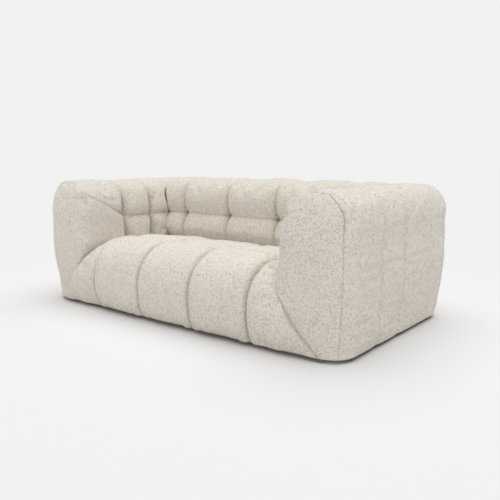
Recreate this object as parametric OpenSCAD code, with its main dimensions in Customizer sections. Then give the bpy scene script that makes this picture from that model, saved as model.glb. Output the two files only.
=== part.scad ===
// Tuxedo sofa: arms as high as the back, padded channels all over, on a bolted timber frame.
// X runs across the sofa, its front faces -Y, and the floor is Z = 0.

/* [Overall] */
// Clear width between the arms, at their sewn seams
inner_w = 1400; // [1200:10:1800]
// Width of one arm, from its sewn seams to its outer face
arm_w = 292; // [280:1:330]
// Depth over the front of the seat and the back of the sofa
sofa_d = 1130; // [1080:5:1250]
// Height of the arms and back
sofa_h = 680; // [660:5:760]
// Height of the feet, which is the gap under the upholstery
foot_h = 15; // [12:1:25]

/* [Seat] */
// Height of the seat at the crown of its channels
seat_h = 386; // [380:1:420]
// Depth of the seat from its front to the plane of the back
seat_d = 690; // [650:5:760]
// Height that the channels stand above the sewn seams
seat_crown = 40; // [30:1:44]
// Distance of the cross seam from the front of the seat
seat_tuft_d = 253; // [250:1:290]
// Depth of the rounded front edge
seat_roll_d = 212; // [190:1:215]
// Height at which the front stands out furthest
belly_z = 165; // [140:1:180]
// How far the front and sides pull in at the floor
hem_tuck = 28; // [15:1:30]

/* [Channels] */
// Spacing of the seams across the seat and back
channel_w = 345; // [300:5:370]
// Distance of the first arm seam from the front of the seat
arm_seam_1 = 350; // [330:5:370]
// Distance of the second arm seam from the front of the seat
arm_seam_2 = 560; // [540:5:580]
// Height of the cross seam on the arms and back
tuft_z = 475; // [460:5:490]

/* [Arms] */
// How far the inner channels stand out from their seams
arm_crown = 60; // [40:1:64]
// Height at which the inner face starts to roll outwards
arm_roll_z = 470; // [460:5:480]
// Width of the roll over the inner top edge
arm_roll_w = 165; // [140:1:175]
// Width of the roll over the outer top edge
outer_roll_w = 130; // [110:1:135]
// Height of the roll over the outer top edge
outer_roll_h = 140; // [120:1:145]
// Height below which the front narrows towards the floor
flare_z = 360; // [355:1:365]
// How much the front narrows at the floor
flare_w = 235; // [220:1:240]
// Distance of the arm fronts behind the front of the seat
arm_setback = 27; // [20:1:35]
// Depth of the roll over the front top edge
front_roll_d = 90; // [70:1:100]
// Radius of the upright corners, seen from above
corner_r = 130; // [110:1:135]
// Depth of the grooves at the outer seams
groove_d = 12; // [6:1:14]
// Width of the grooves to each side of a seam
groove_w = 55; // [40:1:70]

/* [Back] */
// Lean of the back at its cross seam, behind the seat plane
back_tuft_d = 53; // [45:1:60]
// Lean of the back above the cross seam
back_bulge_d = 23; // [15:1:30]
// Lean of the back at its top edge
back_top_d = 95; // [85:1:105]
// How far the front channels stand out from their seams
back_crown = 38; // [25:1:42]
// How far the channels stand out behind and on top
rear_crown = 15; // [8:1:18]

/* [Upholstery] */
// Thickness of cloth and wadding at the sewn seams
skin_t = 12; // [10:1:14]
// Gap between soft pieces that touch
soft_gap = 0.3; // [0.2:0.1:0.8]
// Thickness of the felt pad on the springs
felt_t = 5; // [3:1:8]
// Thickness of the dust cover
dust_t = 1; // [0.6:0.2:1.6]
// Foam over the back frame
back_foam_t = 40; // [30:1:50]
// Foam over the inner side of the arm frame
arm_foam_t = 23; // [18:1:30]
// Foam over the outer side of the arm frame
side_foam_t = 10; // [6:1:14]
// Foam over the top of the arm and back frames
top_foam_t = 40; // [30:1:50]

/* [Frame] */
// Thickness of the solid rails
rail_t = 25; // [20:1:30]
// Height of the seat rails
rail_h = 184; // [160:2:190]
// Thickness of the plywood formers and boards
ply_t = 18; // [15:1:21]
// Thickness of the thin boards
board_t = 9; // [6:1:12]
// Depth of the frames' tops below the top of the sofa
frame_drop = 80; // [74:2:104]
// Length of the corner blocks' legs
block_l = 70; // [50:5:90]
// Number of springs
spring_n = 8; // [5:1:9]
// Diameter of the spring wire
spring_wire = 3.8; // [3:0.2:4.2]
// Width of a spring
spring_w = 62; // [56:1:70]
// Number of bends in a spring
spring_bends = 17; // [15:2:19]
// Width of a webbing strap
strap_w = 60; // [40:5:75]
// Thickness of a webbing strap
strap_t = 2; // [1:0.5:3]
// Number of webbing straps
strap_n = 5; // [3:1:5]

/* [Hardware] */
// Bolt shank diameter
bolt_d = 8; // [6:1:10]
// Clearance between a bolt and its hole, on the radius
bolt_gap = 0.3; // [0.2:0.1:0.5]
// Bolt head diameter
head_d = 16; // [14:1:20]
// Bolt head height
head_h = 5; // [4:0.5:8]
// Washer diameter
washer_d = 24; // [20:1:30]
// Washer thickness
washer_t = 2; // [1:0.5:3]
// Tee nut flange diameter
nut_d = 22; // [18:1:28]
// Tee nut flange thickness
nut_t = 2; // [1:0.5:3]
// Foot diameter
foot_d = 60; // [40:2:64]
// Felt pad thickness under a foot
pad_t = 3; // [2:0.5:5]
// Foot screw diameter
screw_d = 5; // [4:0.5:6]
// Foot screw length in the frame
screw_l = 14; // [10:1:15]

/* [Hidden] */

cloth = "#ddd8cc";
front_cloth = "#d6d0c4";
foam_col = "#efe3a8";
felt_col = "#8f8d88";
timber = "#c9a26b";
ply = "#d9b988";
fibreboard = "#a87f52";
steel = "#b8bcc2";
strap_col = "#3b3b40";
black_cloth = "#2c2c2e";
plastic = "#1f1f21";

// Planes that the pieces share
front_y = -sofa_d / 2;
rear_y = sofa_d / 2;
seat_back_y = front_y + seat_d;
seam_z = seat_h - seat_crown;
half_w = inner_w / 2;
arm_front_y = front_y + arm_setback;
seam_1_y = front_y + arm_seam_1;
seam_2_y = front_y + arm_seam_2;
seat_tuft_y = front_y + seat_tuft_d;
belly_lift = 20;
base_z = foot_h + dust_t;
rail_top = base_z + rail_h;
frame_top = sofa_h - frame_drop;
front_pad = 148;
rear_pad = 62;
arm_rear_pad = 109;
frame_front = front_y + front_pad;
frame_rear = rear_y - rear_pad;
arm_frame_rear = rear_y - arm_rear_pad;
step_x = half_w + skin_t + arm_foam_t;
side_x = half_w + arm_w - hem_tuck - skin_t - side_foam_t;
past = 400;
roll_power = 2.2;
clip_t = 1.2;
tie_d = 2;
// Shape of a channel's crown, and how near its ends come to the diagonal in the corners
crown_flat = 2.4;
crown_power = 0.6;
corner_share = 0.95;

// Rounding and padding profiles
function unit(v) = min(1, max(0, v));
function roll_in(s) = 1 - pow(1 - pow(unit(s), roll_power), 1 / roll_power);
function pillow(t) = pow(max(0, 1 - pow(abs(2 * t - 1), crown_flat)), crown_power);
function crease(d, w) = pow(1 - unit(abs(d) / w), 2);
function mix(a, b, t) = a + (b - a) * t;

// Stations across one channel, closer together where the cloth turns in to a seam
steps = [0, 0.07, 0.22, 0.5, 0.78, 0.93];

// The seat's seams fall towards the back, to the height that the front roll has at this angle
fall_a = 52;
roll_angles = [15, 33, fall_a, 58, 66, 76];

// Levels that the seat and the arms share, so that their faces meet flat
roll_z = seam_z - belly_z;
function roll_point(a) = [pow(cos(a), 2 / roll_power), pow(sin(a), 2 / roll_power)];
contact_z = concat(
    [for (i = [0:3]) mix(base_z, belly_z, i / 3)],
    [for (a = roll_angles) belly_z + roll_z * roll_point(a)[1]]
);
seat_rear_z = belly_z + roll_z * roll_point(fall_a)[1];

// Outline of an arm, which depends on the height
function flare(z) = flare_w * pow(unit((flare_z - z) / flare_z), 1.6);
function inner_x(z) = half_w - arm_crown + flare(z)
    + arm_roll_w * roll_in((z - arm_roll_z) / (sofa_h - arm_roll_z));
function hem(z) = hem_tuck * pow(unit((flare_z - z) / flare_z), 2);
function top_roll(z) = roll_in((z - sofa_h + outer_roll_h) / outer_roll_h);
function outer_x(z) = half_w + arm_w - hem(z) - outer_roll_w * top_roll(z);
function arm_front(z) = arm_front_y + hem(z)
    + front_roll_d * roll_in((z - arm_roll_z) / (sofa_h - arm_roll_z));
function arm_rear(z) = rear_y - rear_crown / 3 - hem(z) - outer_roll_w * top_roll(z);
function rear_corner(z) = max(25, corner_r - outer_roll_w * top_roll(z));
function corner(z) = min(rear_corner(z), outer_x(z) - inner_x(z) - 8);
function inner_corner(z) =
    min(7 + 88 * unit((z - seam_z + 100) / 150), corner(z), panel_y(z) - arm_front(z) - 5);
function inner_edge(z) = 16 * roll_in((z - sofa_h + 22) / 22);

// Depth of the arm seams and of the back channels, which start above the seat
above_seat = seat_rear_z + seat_crown * 0.4;
function arm_depth(z) = arm_crown * unit((z - seat_rear_z) / 40) * mix(1, 0.25, unit((z - 540) / 140));
function back_depth(z) = back_crown * unit((z - above_seat) / 55);
function tuft_row(z) = 1 - 0.55 * crease(z - tuft_z, 70);

// Front face of the back along its seams
knee_z = tuft_z - 50;
knee_d = back_tuft_d * 0.3;
lean_z = [base_z, seat_rear_z, knee_z, tuft_z, tuft_z + 105, sofa_h - rear_crown];
lean_d = [0, 0, knee_d, back_tuft_d, back_bulge_d, back_top_d];
function lean(z) = seat_back_y + lookup(z, [for (i = [0:5]) [lean_z[i], lean_d[i]]]);

// Levels above the seat that the arms and the back share
channel_z = [for (s = [0, 0.5, 1]) mix(above_seat + 40, knee_z, s)];

// Triangles of a cap over ring points 0 to n - 1: a fan from the extra point c, or where pairs is
// set, level strips between points k and n - 1 - k up to that level and a fan above it
function fan(n, c) = [for (k = [0:n - 1]) [k, (k + 1) % n, c]];
function strips(n, pairs) = concat(
    [for (k = [0:pairs - 2]) each [[k, k + 1, n - 2 - k], [k, n - 2 - k, n - 1 - k]]],
    [for (k = [pairs - 1:n - pairs - 2]) [k, k + 1, n - pairs]]
);

// Closed skin through rings of points, with its caps at the first and last ring
module skin(rings, start_centre, end_centre, pairs = 0, flip = false) {
    n = len(rings[0]);
    m = len(rings);
    points = concat([for (r = rings, p = r) p], [start_centre, end_centre]);
    function at(i, k) = i * n + k % n;
    function last(k) = k < n ? (m - 1) * n + k : k;
    sides = [
        for (i = [0:m - 2], k = [0:n - 1])
            each flip
                ? [[at(i, k), at(i + 1, k), at(i, k + 1)], [at(i, k + 1), at(i + 1, k), at(i + 1, k + 1)]]
                : [[at(i, k), at(i + 1, k + 1), at(i, k + 1)], [at(i, k), at(i + 1, k), at(i + 1, k + 1)]]
    ];
    start_cap = pairs > 0 ? strips(n, pairs) : fan(n, m * n);
    end_cap = pairs > 0 ? strips(n, pairs) : fan(n, m * n + 1);
    polyhedron(
        pairs > 0 ? [for (i = [0:m * n - 1]) points[i]] : points,
        concat(sides, start_cap, [for (f = end_cap)
            pairs > 0 ? [for (k = [2, 1, 0]) last(f[k])] : [f[2], last(f[1]), last(f[0])]]),
        convexity = 8);
}

// Rings run anticlockwise, seen from where the stack of rings goes
function turned(ring) = [for (i = [len(ring) - 1:-1:0]) ring[i]];

// Columns across the seat and back as [channel, place in it from 0 to 1]
seams_x = [for (i = [-1.5:1:1.5]) i * channel_w];
columns = [for (c = [0:4], t = steps) [c, t], [4, 1]];
function column_x(c, t, edge) =
    mix(c == 0 ? -edge : seams_x[c - 1], c == 4 ? edge : seams_x[c], t);

// Seam line of the seat as [y, z, outward y, outward z, channel height], from the floor to the back
seat_belly = [for (i = [0:3]) let(z = contact_z[i], s = (belly_z - z) / (belly_z - base_z))
    [front_y + belly_lift + hem_tuck * s * s, z, -1, 0, mix(belly_lift, 8, s * s)]];
seat_roll = [for (a = concat(roll_angles, [90])) let(p = roll_point(a), q = [cos(a), sin(a)])
    [front_y + belly_lift + seat_roll_d * (1 - p[0]), belly_z + roll_z * p[1],
     -q[0], q[1], mix(belly_lift, seat_crown, sin(a))]];
function seat_channel(y) = seat_crown * (1 - 0.6 * crease(y - seat_tuft_y, 60))
    * mix(0.3, 1, unit((seat_back_y - y) / 90));
seat_rear_y = seat_back_y - soft_gap / 2;
function fall_y(z) = mix(seat_rear_y, seat_tuft_y, (z - seat_rear_z) / (seam_z - seat_rear_z));
function fall_z(y) = mix(seam_z, seat_rear_z, unit((y - seat_tuft_y) / (seat_rear_y - seat_tuft_y)));
seat_top = [for (d = [-15, 0, 30]) let(y = seat_tuft_y + d) [y, fall_z(y), 0, 1, seat_channel(y)]];
seat_rear = [for (i = [len(contact_z) - 1:-1:0]) let(z = contact_z[i], y = min(fall_y(z), seat_rear_y))
    [y, z, 0, 1, z < seat_rear_z ? 0 : seat_channel(y)]];
seat_line = concat(seat_belly, seat_roll, seat_top, seat_rear);
function seat_edge(z) = inner_x(min(z, seam_z)) - soft_gap;
function seat_ring(c, t) = turned([for (p = seat_line) let(h = p[4] * pillow(t))
    [column_x(c, t, seat_edge(p[1])), p[0] + p[2] * h, p[1] + p[3] * h]]);

// Inner outline of the seat padding, drawn in from the seam line
function seat_core(inset) = concat(
    [[frame_front - rail_t - soft_gap, base_z + 2],
     [front_y + belly_lift + hem_tuck + inset, base_z + 2],
     [front_y + belly_lift + inset, belly_z]],
    [for (a = [15:15:90]) let(p = roll_point(a))
        [front_y + belly_lift + inset + (seat_roll_d - inset) * (1 - p[0]),
         belly_z + (roll_z - inset) * p[1]]],
    [[seat_back_y - skin_t, seat_rear_z - inset]]
);
spring_top = rail_top + clip_t + soft_gap + spring_wire;
felt_z = spring_top + tie_d + 2 * soft_gap;
foam_z = felt_z + felt_t + soft_gap;
core_x = inner_x(seam_z) - 1.5 * skin_t;
felt_inset = 4;

module along_x(x0, x1) translate([x0, 0, 0]) rotate([90, 0, 90]) linear_extrude(x1 - x0) children();
module along_y(y0, y1) translate([0, y1, 0]) rotate([90, 0, 0]) linear_extrude(y1 - y0) children();
module box(lo, hi) translate(lo) cube(hi - lo);

module seat_form() skin([for (col = columns) seat_ring(col[0], col[1])], pairs = len(contact_z));

module seat_cover() color(cloth) difference() {
    seat_form();
    box([-half_w, frame_front - rail_t - soft_gap, 0], [half_w, rear_y, rail_top + soft_gap]);
    box([-half_w - past, frame_front - soft_gap, 0], [half_w + past, rear_y, rail_top + soft_gap]);
    along_x(-core_x, core_x) polygon(concat(seat_core(skin_t),
        [[seat_back_y - skin_t, rail_top - 1], [frame_front - rail_t - soft_gap, rail_top - 1]]));
}

module seat_foam() color(foam_col) along_x(-core_x + soft_gap, core_x - soft_gap)
    polygon(concat(seat_core(skin_t + soft_gap),
        [[seat_back_y - skin_t - soft_gap, foam_z], [frame_front - rail_t - soft_gap, foam_z]]));

module seat_felt_pad() color(felt_col)
    box([-core_x + felt_inset, frame_front - rail_t + felt_inset, felt_z],
        [core_x - felt_inset, seat_back_y - skin_t - felt_inset, felt_z + felt_t]);

// Arms, drawn as the right arm and mirrored

// The cover laps over the front panel's top edge by this much
top_lap = 25;
panel_top = sofa_h - top_lap;
arm_levels = concat(contact_z, [seam_z], channel_z, [
    tuft_z - 30, tuft_z - 10, tuft_z, tuft_z + 10, tuft_z + 30,
    540, 580, 615, 640, panel_top, panel_top + 1, sofa_h - 12, sofa_h - 3, sofa_h
]);

// Seam between the front panel and the rest, which slants forward above the cross seam
function panel_y(z) = max(
    seam_1_y - 12 - 235 * pow(unit((z - tuft_z) / 130), 1.1) - 60 * unit((z - tuft_z - 130) / 50),
    arm_front(z) + top_lap);
function arm_in(y, z, p) = inner_x(z) + arm_depth(z) * (1 - p * tuft_row(z));
function near_corner(x, y, z) =
    let(w = half_w - inner_x(z), d = back_depth(z) * tuft_row(z))
    w > 0 && d > 0 ? max(x, half_w - corner_share * w * (lean(z) - y) / d) : x;
function groove(y) = groove_d * (crease(y - seam_1_y, groove_w) + crease(y - seam_2_y, groove_w));
function outer_corner(z, a) = [outer_x(z) - corner(z) + corner(z) * cos(a),
                               arm_front(z) + corner(z) + corner(z) * sin(a)];
// The seam runs down the middle of the outer front corner
function split_a(z) = z > panel_top ? -90 : -45;
function side_fade(z) = mix(0.3, 1, unit((z - base_z) / 150));

function arm_ring(z) =
    let(xo = outer_x(z), yr = arm_rear(z), r = rear_corner(z), yl = lean(z),
        yp = z > panel_top ? arm_front(z) : panel_y(z), wide = unit((seam_1_y - yp) / 90), e = inner_edge(z))
    [for (p = concat(
        [for (s = [1, 0.5, 0]) outer_corner(z, s * split_a(z))],
        [for (s = [[seam_1_y, -1], [seam_1_y, -0.4], [seam_1_y, 0], [seam_1_y, 0.4], [seam_1_y, 1],
                   [seam_2_y, -1], [seam_2_y, -0.4], [seam_2_y, 0], [seam_2_y, 0.4], [seam_2_y, 1]])
            let(y = s[0] + s[1] * groove_w) [xo - side_fade(z) * groove(y), y]],
        [for (a = [0:22.5:90]) [xo - r + r * cos(a), yr - r + r * sin(a)]],
        [[half_w + e + 10, yr], [half_w + e, yr - 10], [half_w + e, yl + 16],
         [z < seat_rear_z ? max(half_w, inner_x(z)) : half_w + e, yl]],
        [for (t = [0.93, 0.78, 0.5, 0.22, 0.07, 0]) let(y = mix(seam_2_y, yl, t), x = arm_in(y, z, pillow(t)))
            [t > 0.9 && z < seat_rear_z ? max(x, half_w) : near_corner(x, y, z), y]],
        [for (t = [0.93, 0.78, 0.5, 0.22, 0.07, 0]) let(y = mix(seam_1_y, seam_2_y, t))
            [arm_in(y, z, pillow(t)), y]],
        z > panel_top
            ? [[arm_in(yp + top_lap, z, 0.75), yp + top_lap], [arm_in(yp, z, 0.75) + top_lap, yp]]
            : [for (t = [0.6, 0]) let(y = mix(yp, seam_1_y, t)) [arm_in(y, z, t == 0 ? 0.75 : 0.9 * wide), y]]
    )) [p[0], p[1], z]];

function panel_ring(z) =
    let(xi = inner_x(z), yf = arm_front(z), r = inner_corner(z), yp = panel_y(z) - soft_gap,
        out_a = split_a(z))
    [for (p = concat(
        [[arm_in(yp, z, 0.75), yp], [mix(arm_in(yp, z, 0.75), xi, 0.8), mix(yp, yf + r, 0.15)],
         [xi, mix(yp, yf + r, 0.5)]],
        [for (a = [180:22.5:270]) [xi + r + r * cos(a), yf + r + r * sin(a)]],
        [for (a = [-90:15:out_a]) outer_corner(z, a) - [0, a == out_a ? soft_gap : 0]]
    )) [p[0], p[1], z]];
panel_levels = [for (z = arm_levels) if (z < panel_top) z, panel_top - soft_gap];

// Outside of the arm's foam, from the seat rail over the top to the hem
foam_edge = 14;
foam_knee_z = frame_top - 65;
foam_hem_z = base_z + 24;
function arm_foam_line(grow) = [
    [half_w + skin_t - grow, rail_top + soft_gap],
    [half_w + skin_t - grow, foam_knee_z],
    [half_w + 2 * skin_t - grow, frame_top - foam_edge / 2],
    [step_x + foam_edge - grow, frame_top + top_foam_t + grow],
    [side_x - foam_edge, frame_top + top_foam_t + grow],
    [side_x + side_foam_t + grow, frame_top - foam_edge]
];
module arm_space() along_y(frame_front - soft_gap, arm_frame_rear + soft_gap) polygon(concat(
    arm_foam_line(soft_gap),
    [[side_x + side_foam_t + soft_gap, 0], [half_w - soft_gap, 0], [half_w - soft_gap, rail_top + soft_gap]]
));

// Points that the fans of triangles over the lowest and highest rings start from
cover_foot = [outer_x(base_z) - 70, seat_back_y + 60, base_z];
cover_head = [mix(inner_x(sofa_h), outer_x(sofa_h), 0.5), seat_back_y + 180, sofa_h];
panel_foot = [outer_x(base_z) - 45, arm_front(base_z) + 25, base_z];
panel_head_z = panel_top - soft_gap;
panel_head = let(z = panel_head_z) [mix(inner_x(z), outer_x(z), 0.5), arm_front(z) + 12, z];

module arm_cover() color(cloth) difference() {
    skin([for (z = arm_levels) arm_ring(z)], cover_foot, cover_head);
    arm_space();
}

module arm_front_panel() color(front_cloth) difference() {
    skin([for (z = panel_levels) panel_ring(z)], panel_foot, panel_head, flip = true);
    arm_space();
}

module arm_foam() color(foam_col) along_y(frame_front, arm_frame_rear) polygon(concat(
    arm_foam_line(0),
    [[side_x + side_foam_t, foam_hem_z], [side_x, foam_hem_z],
     [side_x, frame_top], [step_x, frame_top], [step_x, rail_top + soft_gap]]
));

module arm_formers() color(ply) for (y = [frame_front, arm_frame_rear - ply_t])
    along_y(y, y + ply_t) polygon([
        [half_w, base_z], [half_w, rail_top], [step_x, rail_top], [step_x, frame_top],
        [side_x, frame_top], [side_x, base_z]
    ]);
former_in = frame_front + ply_t;
former_out = arm_frame_rear - ply_t;
module arm_top_board() color(ply)
    box([step_x + board_t, former_in, frame_top - ply_t], [side_x - board_t, former_out, frame_top]);
module arm_base_board() color(ply) difference() {
    box([half_w + rail_t, former_in, base_z], [side_x - board_t, former_out, base_z + ply_t]);
    for (y = arm_feet_y) translate([arm_foot_x, y, base_z]) screw_hole();
}
bolt_z = base_z + rail_h / 2;
// Bolts clear the corner blocks by half a washer and a little
bolt_inset = block_l + washer_d / 2 + 5;
arm_bolt_y = [for (k = [0:2]) mix(frame_front + bolt_inset, seat_back_y - rail_t - bolt_inset, k / 2)];
// The back's inner bolts stand just outside its inner formers
nut_room = 3.5;
bolt_near_x = channel_w / 2 + ply_t / 2 + nut_d / 2 + nut_room;
bolt_far_x = half_w - rail_t - bolt_inset;
back_bolt_x = [-bolt_far_x, -bolt_near_x, bolt_near_x, bolt_far_x];
module arm_bolt_holes() for (y = arm_bolt_y) translate([half_w - past / 2, y, bolt_z])
    rotate([0, 90, 0]) cylinder(r = bolt_d / 2 + bolt_gap, h = past, $fn = 48);
module arm_lower_rail() color(timber) difference() {
    box([half_w, former_in, base_z], [half_w + rail_t, former_out, rail_top]);
    arm_bolt_holes();
}
module arm_inner_board() color(fibreboard)
    box([step_x, former_in, rail_top], [step_x + board_t, former_out, frame_top]);
module arm_outer_board() color(fibreboard)
    box([side_x - board_t, former_in, base_z], [side_x, former_out, frame_top]);

// Back

back_x = half_w - soft_gap;
top_y = seat_back_y + back_top_d;
rear_seam_y = rear_y - rear_crown;
top_seam_z = sofa_h - rear_crown;
back_front_z = concat([base_z, flare_z / 3, flare_z * 2 / 3, above_seat, above_seat + 20], channel_z, [
    tuft_z - 30, tuft_z - 10, tuft_z, tuft_z + 10, tuft_z + 35, tuft_z + 75, tuft_z + 120, tuft_z + 155
]);
back_front = [for (z = back_front_z) [lean(z), z, -1, 0, back_depth(z) * tuft_row(z)]];
back_top = [for (s = [0, 0.25, 0.5, 0.75, 1]) let(y = mix(top_y - 18, rear_seam_y - outer_roll_w, s))
    [y, top_seam_z - (s == 0 ? 9 : 0), s == 0 ? -0.8 : 0, s == 0 ? 0.6 : 1, s == 0 ? 24 : rear_crown]];
back_rear = [for (a = [72:-18:0]) let(p = roll_point(a))
    [rear_seam_y - outer_roll_w * (1 - p[0]), top_seam_z - outer_roll_h * (1 - p[1]),
     cos(a), sin(a), rear_crown]];
back_hem = [for (z = [flare_z, flare_z * 2 / 3, flare_z / 3, base_z])
    [rear_seam_y - hem(z), z, 1, 0, rear_crown * side_fade(z)]];
back_line = concat(back_front, back_top, back_rear, back_hem);
// The end columns stay on their own side of the corner where they meet the arms' channels
function end_limit(x, p) =
    let(w = half_w - inner_x(p[1]), d = back_depth(p[1]) * tuft_row(p[1]))
    p[2] == -1 && w > 0 && d > 0 ? corner_share * (half_w - abs(x)) * d / w : past;
function back_ring(c, t) = turned([for (p = back_line)
    let(x = column_x(c, t, back_x), h = min(p[4] * pillow(t), end_limit(x, p)))
    [x, p[0] + p[2] * h, p[1] + p[3] * h]]);

pin_y = seat_back_y + back_bulge_d + skin_t + back_foam_t;
back_edge_x = half_w - skin_t;
function back_foam_line(grow) = [
    [seat_back_y + skin_t - grow, rail_top + soft_gap],
    [seat_back_y + skin_t - grow, seat_rear_z],
    [seat_back_y + knee_d + skin_t - grow, knee_z],
    [seat_back_y + back_tuft_d + skin_t - grow, tuft_z],
    [seat_back_y + back_bulge_d + 1.5 * skin_t - grow, tuft_z + 95],
    [seat_back_y + back_top_d - grow, frame_top + top_foam_t + grow],
    [frame_rear - top_foam_t, frame_top + top_foam_t + grow],
    [frame_rear, frame_top + grow]
];
module back_space() along_x(-back_edge_x - soft_gap, back_edge_x + soft_gap) polygon(concat(
    back_foam_line(soft_gap),
    [[frame_rear, rail_top - 1], [seat_back_y + skin_t - soft_gap, rail_top - 1]]
));

// Point that the fans over the back's two ends start from, as depth and height
back_hub = [seat_back_y + 210, 350];
module back_cover() color(cloth) difference() {
    skin([for (col = columns) back_ring(col[0], col[1])],
        [-back_x, back_hub[0], back_hub[1]], [back_x, back_hub[0], back_hub[1]]);
    back_space();
    box([-half_w - 1, seat_back_y - 1, 0], [half_w + 1, frame_rear, rail_top + soft_gap]);
}

board_y = frame_rear - soft_gap - board_t;
module back_foam() color(foam_col) along_x(-back_edge_x, back_edge_x) polygon(concat(
    back_foam_line(0),
    [[frame_rear - soft_gap, frame_top], [pin_y - strap_t - soft_gap, frame_top],
     [pin_y - strap_t - soft_gap, rail_top + soft_gap]]
));
back_former_x = [-back_edge_x, -channel_w / 2 - ply_t / 2, channel_w / 2 - ply_t / 2, back_edge_x - ply_t];
module back_formers() color(ply) for (x = back_former_x) along_x(x, x + ply_t) polygon([
    [seat_back_y + rail_t, base_z], [seat_back_y + rail_t, rail_top], [pin_y, rail_top],
    [pin_y, frame_top - ply_t], [board_y, frame_top - ply_t], [board_y, base_z + ply_t],
    [seat_back_y + rail_t + ply_t, base_z + ply_t], [seat_back_y + rail_t + ply_t, base_z]
]);
module back_top_board() color(ply)
    box([-back_edge_x, pin_y, frame_top - ply_t], [back_edge_x, board_y, frame_top]);
module back_base_board() color(ply) difference() {
    box([-back_edge_x, seat_back_y + rail_t + ply_t, base_z],
        [back_edge_x, board_y, base_z + ply_t]);
    translate([0, back_foot_y, base_z]) screw_hole();
}
module back_bolt_holes() for (x = back_bolt_x) translate([x, seat_back_y + past / 2, bolt_z])
    rotate([90, 0, 0]) cylinder(r = bolt_d / 2 + bolt_gap, h = past, $fn = 48);
module back_lower_rail() color(timber) difference() {
    box([-half_w, seat_back_y, base_z], [half_w, seat_back_y + rail_t, rail_top]);
    back_bolt_holes();
}
strap_gap = (frame_top - ply_t - rail_top - strap_n * strap_w) / (strap_n + 1);
module back_webbing() color(strap_col) for (i = [0:strap_n - 1])
    let(z = rail_top + strap_gap + i * (strap_w + strap_gap))
    box([-back_edge_x, pin_y - strap_t, z], [back_edge_x, pin_y, z + strap_w]);
module back_outer_board() color(fibreboard)
    box([-back_edge_x, board_y, base_z], [back_edge_x, board_y + board_t, frame_top]);

// Seat frame

module seat_front_rail() color(timber)
    box([-half_w, frame_front - rail_t, base_z], [half_w, frame_front, rail_top]);
module seat_rear_rail() color(timber) difference() {
    box([-half_w, seat_back_y - rail_t, base_z], [half_w, seat_back_y, rail_top]);
    back_bolt_holes();
}
module seat_side_rails() color(timber) for (side = [0, 1]) mirror([side, 0, 0]) difference() {
    box([half_w - rail_t, frame_front, base_z], [half_w, seat_back_y - rail_t, rail_top]);
    arm_bolt_holes();
}
// The centre rail stays this far below the springs
spring_room = 60;
module seat_centre_rail() color(timber) difference() {
    box([-rail_t, frame_front, base_z], [rail_t, seat_back_y - rail_t, rail_top - spring_room]);
    translate([0, seat_foot_y, base_z]) screw_hole();
}
block_inset = 30;
module corner_block() linear_extrude(rail_h - 2 * block_inset)
    polygon([[0, 0], [-block_l, 0], [0, block_l]]);
module seat_corner_blocks() color(timber) for (side = [0, 1]) mirror([side, 0, 0])
    translate([half_w - rail_t, 0, base_z + block_inset]) {
        translate([0, frame_front, 0]) corner_block();
        translate([0, seat_back_y - rail_t, 0]) mirror([0, 1, 0]) corner_block();
    }

// Springs run from the front rail to the rear rail in flat bends of one square wire
spring_y0 = frame_front - rail_t / 2;
spring_y1 = seat_back_y - skin_t - 2 * spring_wire;
spring_pitch = (spring_y1 - spring_y0) / spring_bends;
spring_z = rail_top + clip_t + soft_gap;
spring_span = 2 * (core_x - 10) - spring_w;
bar_l = spring_w - spring_pitch;
function spring_x(i) = -spring_span / 2 + i * spring_span / (spring_n - 1);
module spring_bend() intersection() {
    difference() {
        circle(r = (spring_pitch + spring_wire) / 2, $fn = 48);
        circle(r = (spring_pitch - spring_wire) / 2, $fn = 48);
    }
    translate([0, -spring_pitch]) square([spring_pitch, 2 * spring_pitch]);
}
module spring() translate([0, 0, spring_z]) linear_extrude(spring_wire) {
    for (i = [0:spring_bends]) translate([-bar_l / 2, spring_y0 + i * spring_pitch - spring_wire / 2])
        square([bar_l, spring_wire]);
    for (i = [0:spring_bends - 1]) mirror([i % 2, 0])
        translate([bar_l / 2, spring_y0 + (i + 0.5) * spring_pitch]) spring_bend();
}
module seat_springs() color(steel) for (i = [0:spring_n - 1]) translate([spring_x(i), 0, 0]) spring();

// A clip is a folded strip that holds the last bar of a spring down on its rail
clip_l = bar_l * 0.8;
clip_tail = 5;
clip_in = spring_wire + 2 * soft_gap;
module clip_profile() polygon([
    [-clip_tail, 0], [spring_wire, 0],
    [spring_wire, clip_in + 2 * clip_t], [-spring_wire, clip_in + 2 * clip_t],
    [-spring_wire, clip_in + clip_t], [spring_wire - clip_t, clip_in + clip_t],
    [spring_wire - clip_t, clip_t], [-clip_tail, clip_t]
]);
module spring_clip() along_x(-clip_l / 2, clip_l / 2) clip_profile();
module spring_clips() color(steel) for (i = [0:spring_n - 1]) {
    translate([spring_x(i), spring_y0, rail_top]) mirror([0, 1, 0]) spring_clip();
    translate([spring_x(i), spring_y1, rail_top]) spring_clip();
}
module spring_tie_wires() color(steel) for (k = [1, 2])
    translate([-core_x + 6, mix(spring_y0, spring_y1, k / 3), spring_top + soft_gap / 3 + tie_d / 2])
        rotate([0, 90, 0]) cylinder(d = tie_d, h = 2 * core_x - 12, $fn = 24);

// Feet, hardware and the dust cover

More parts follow.
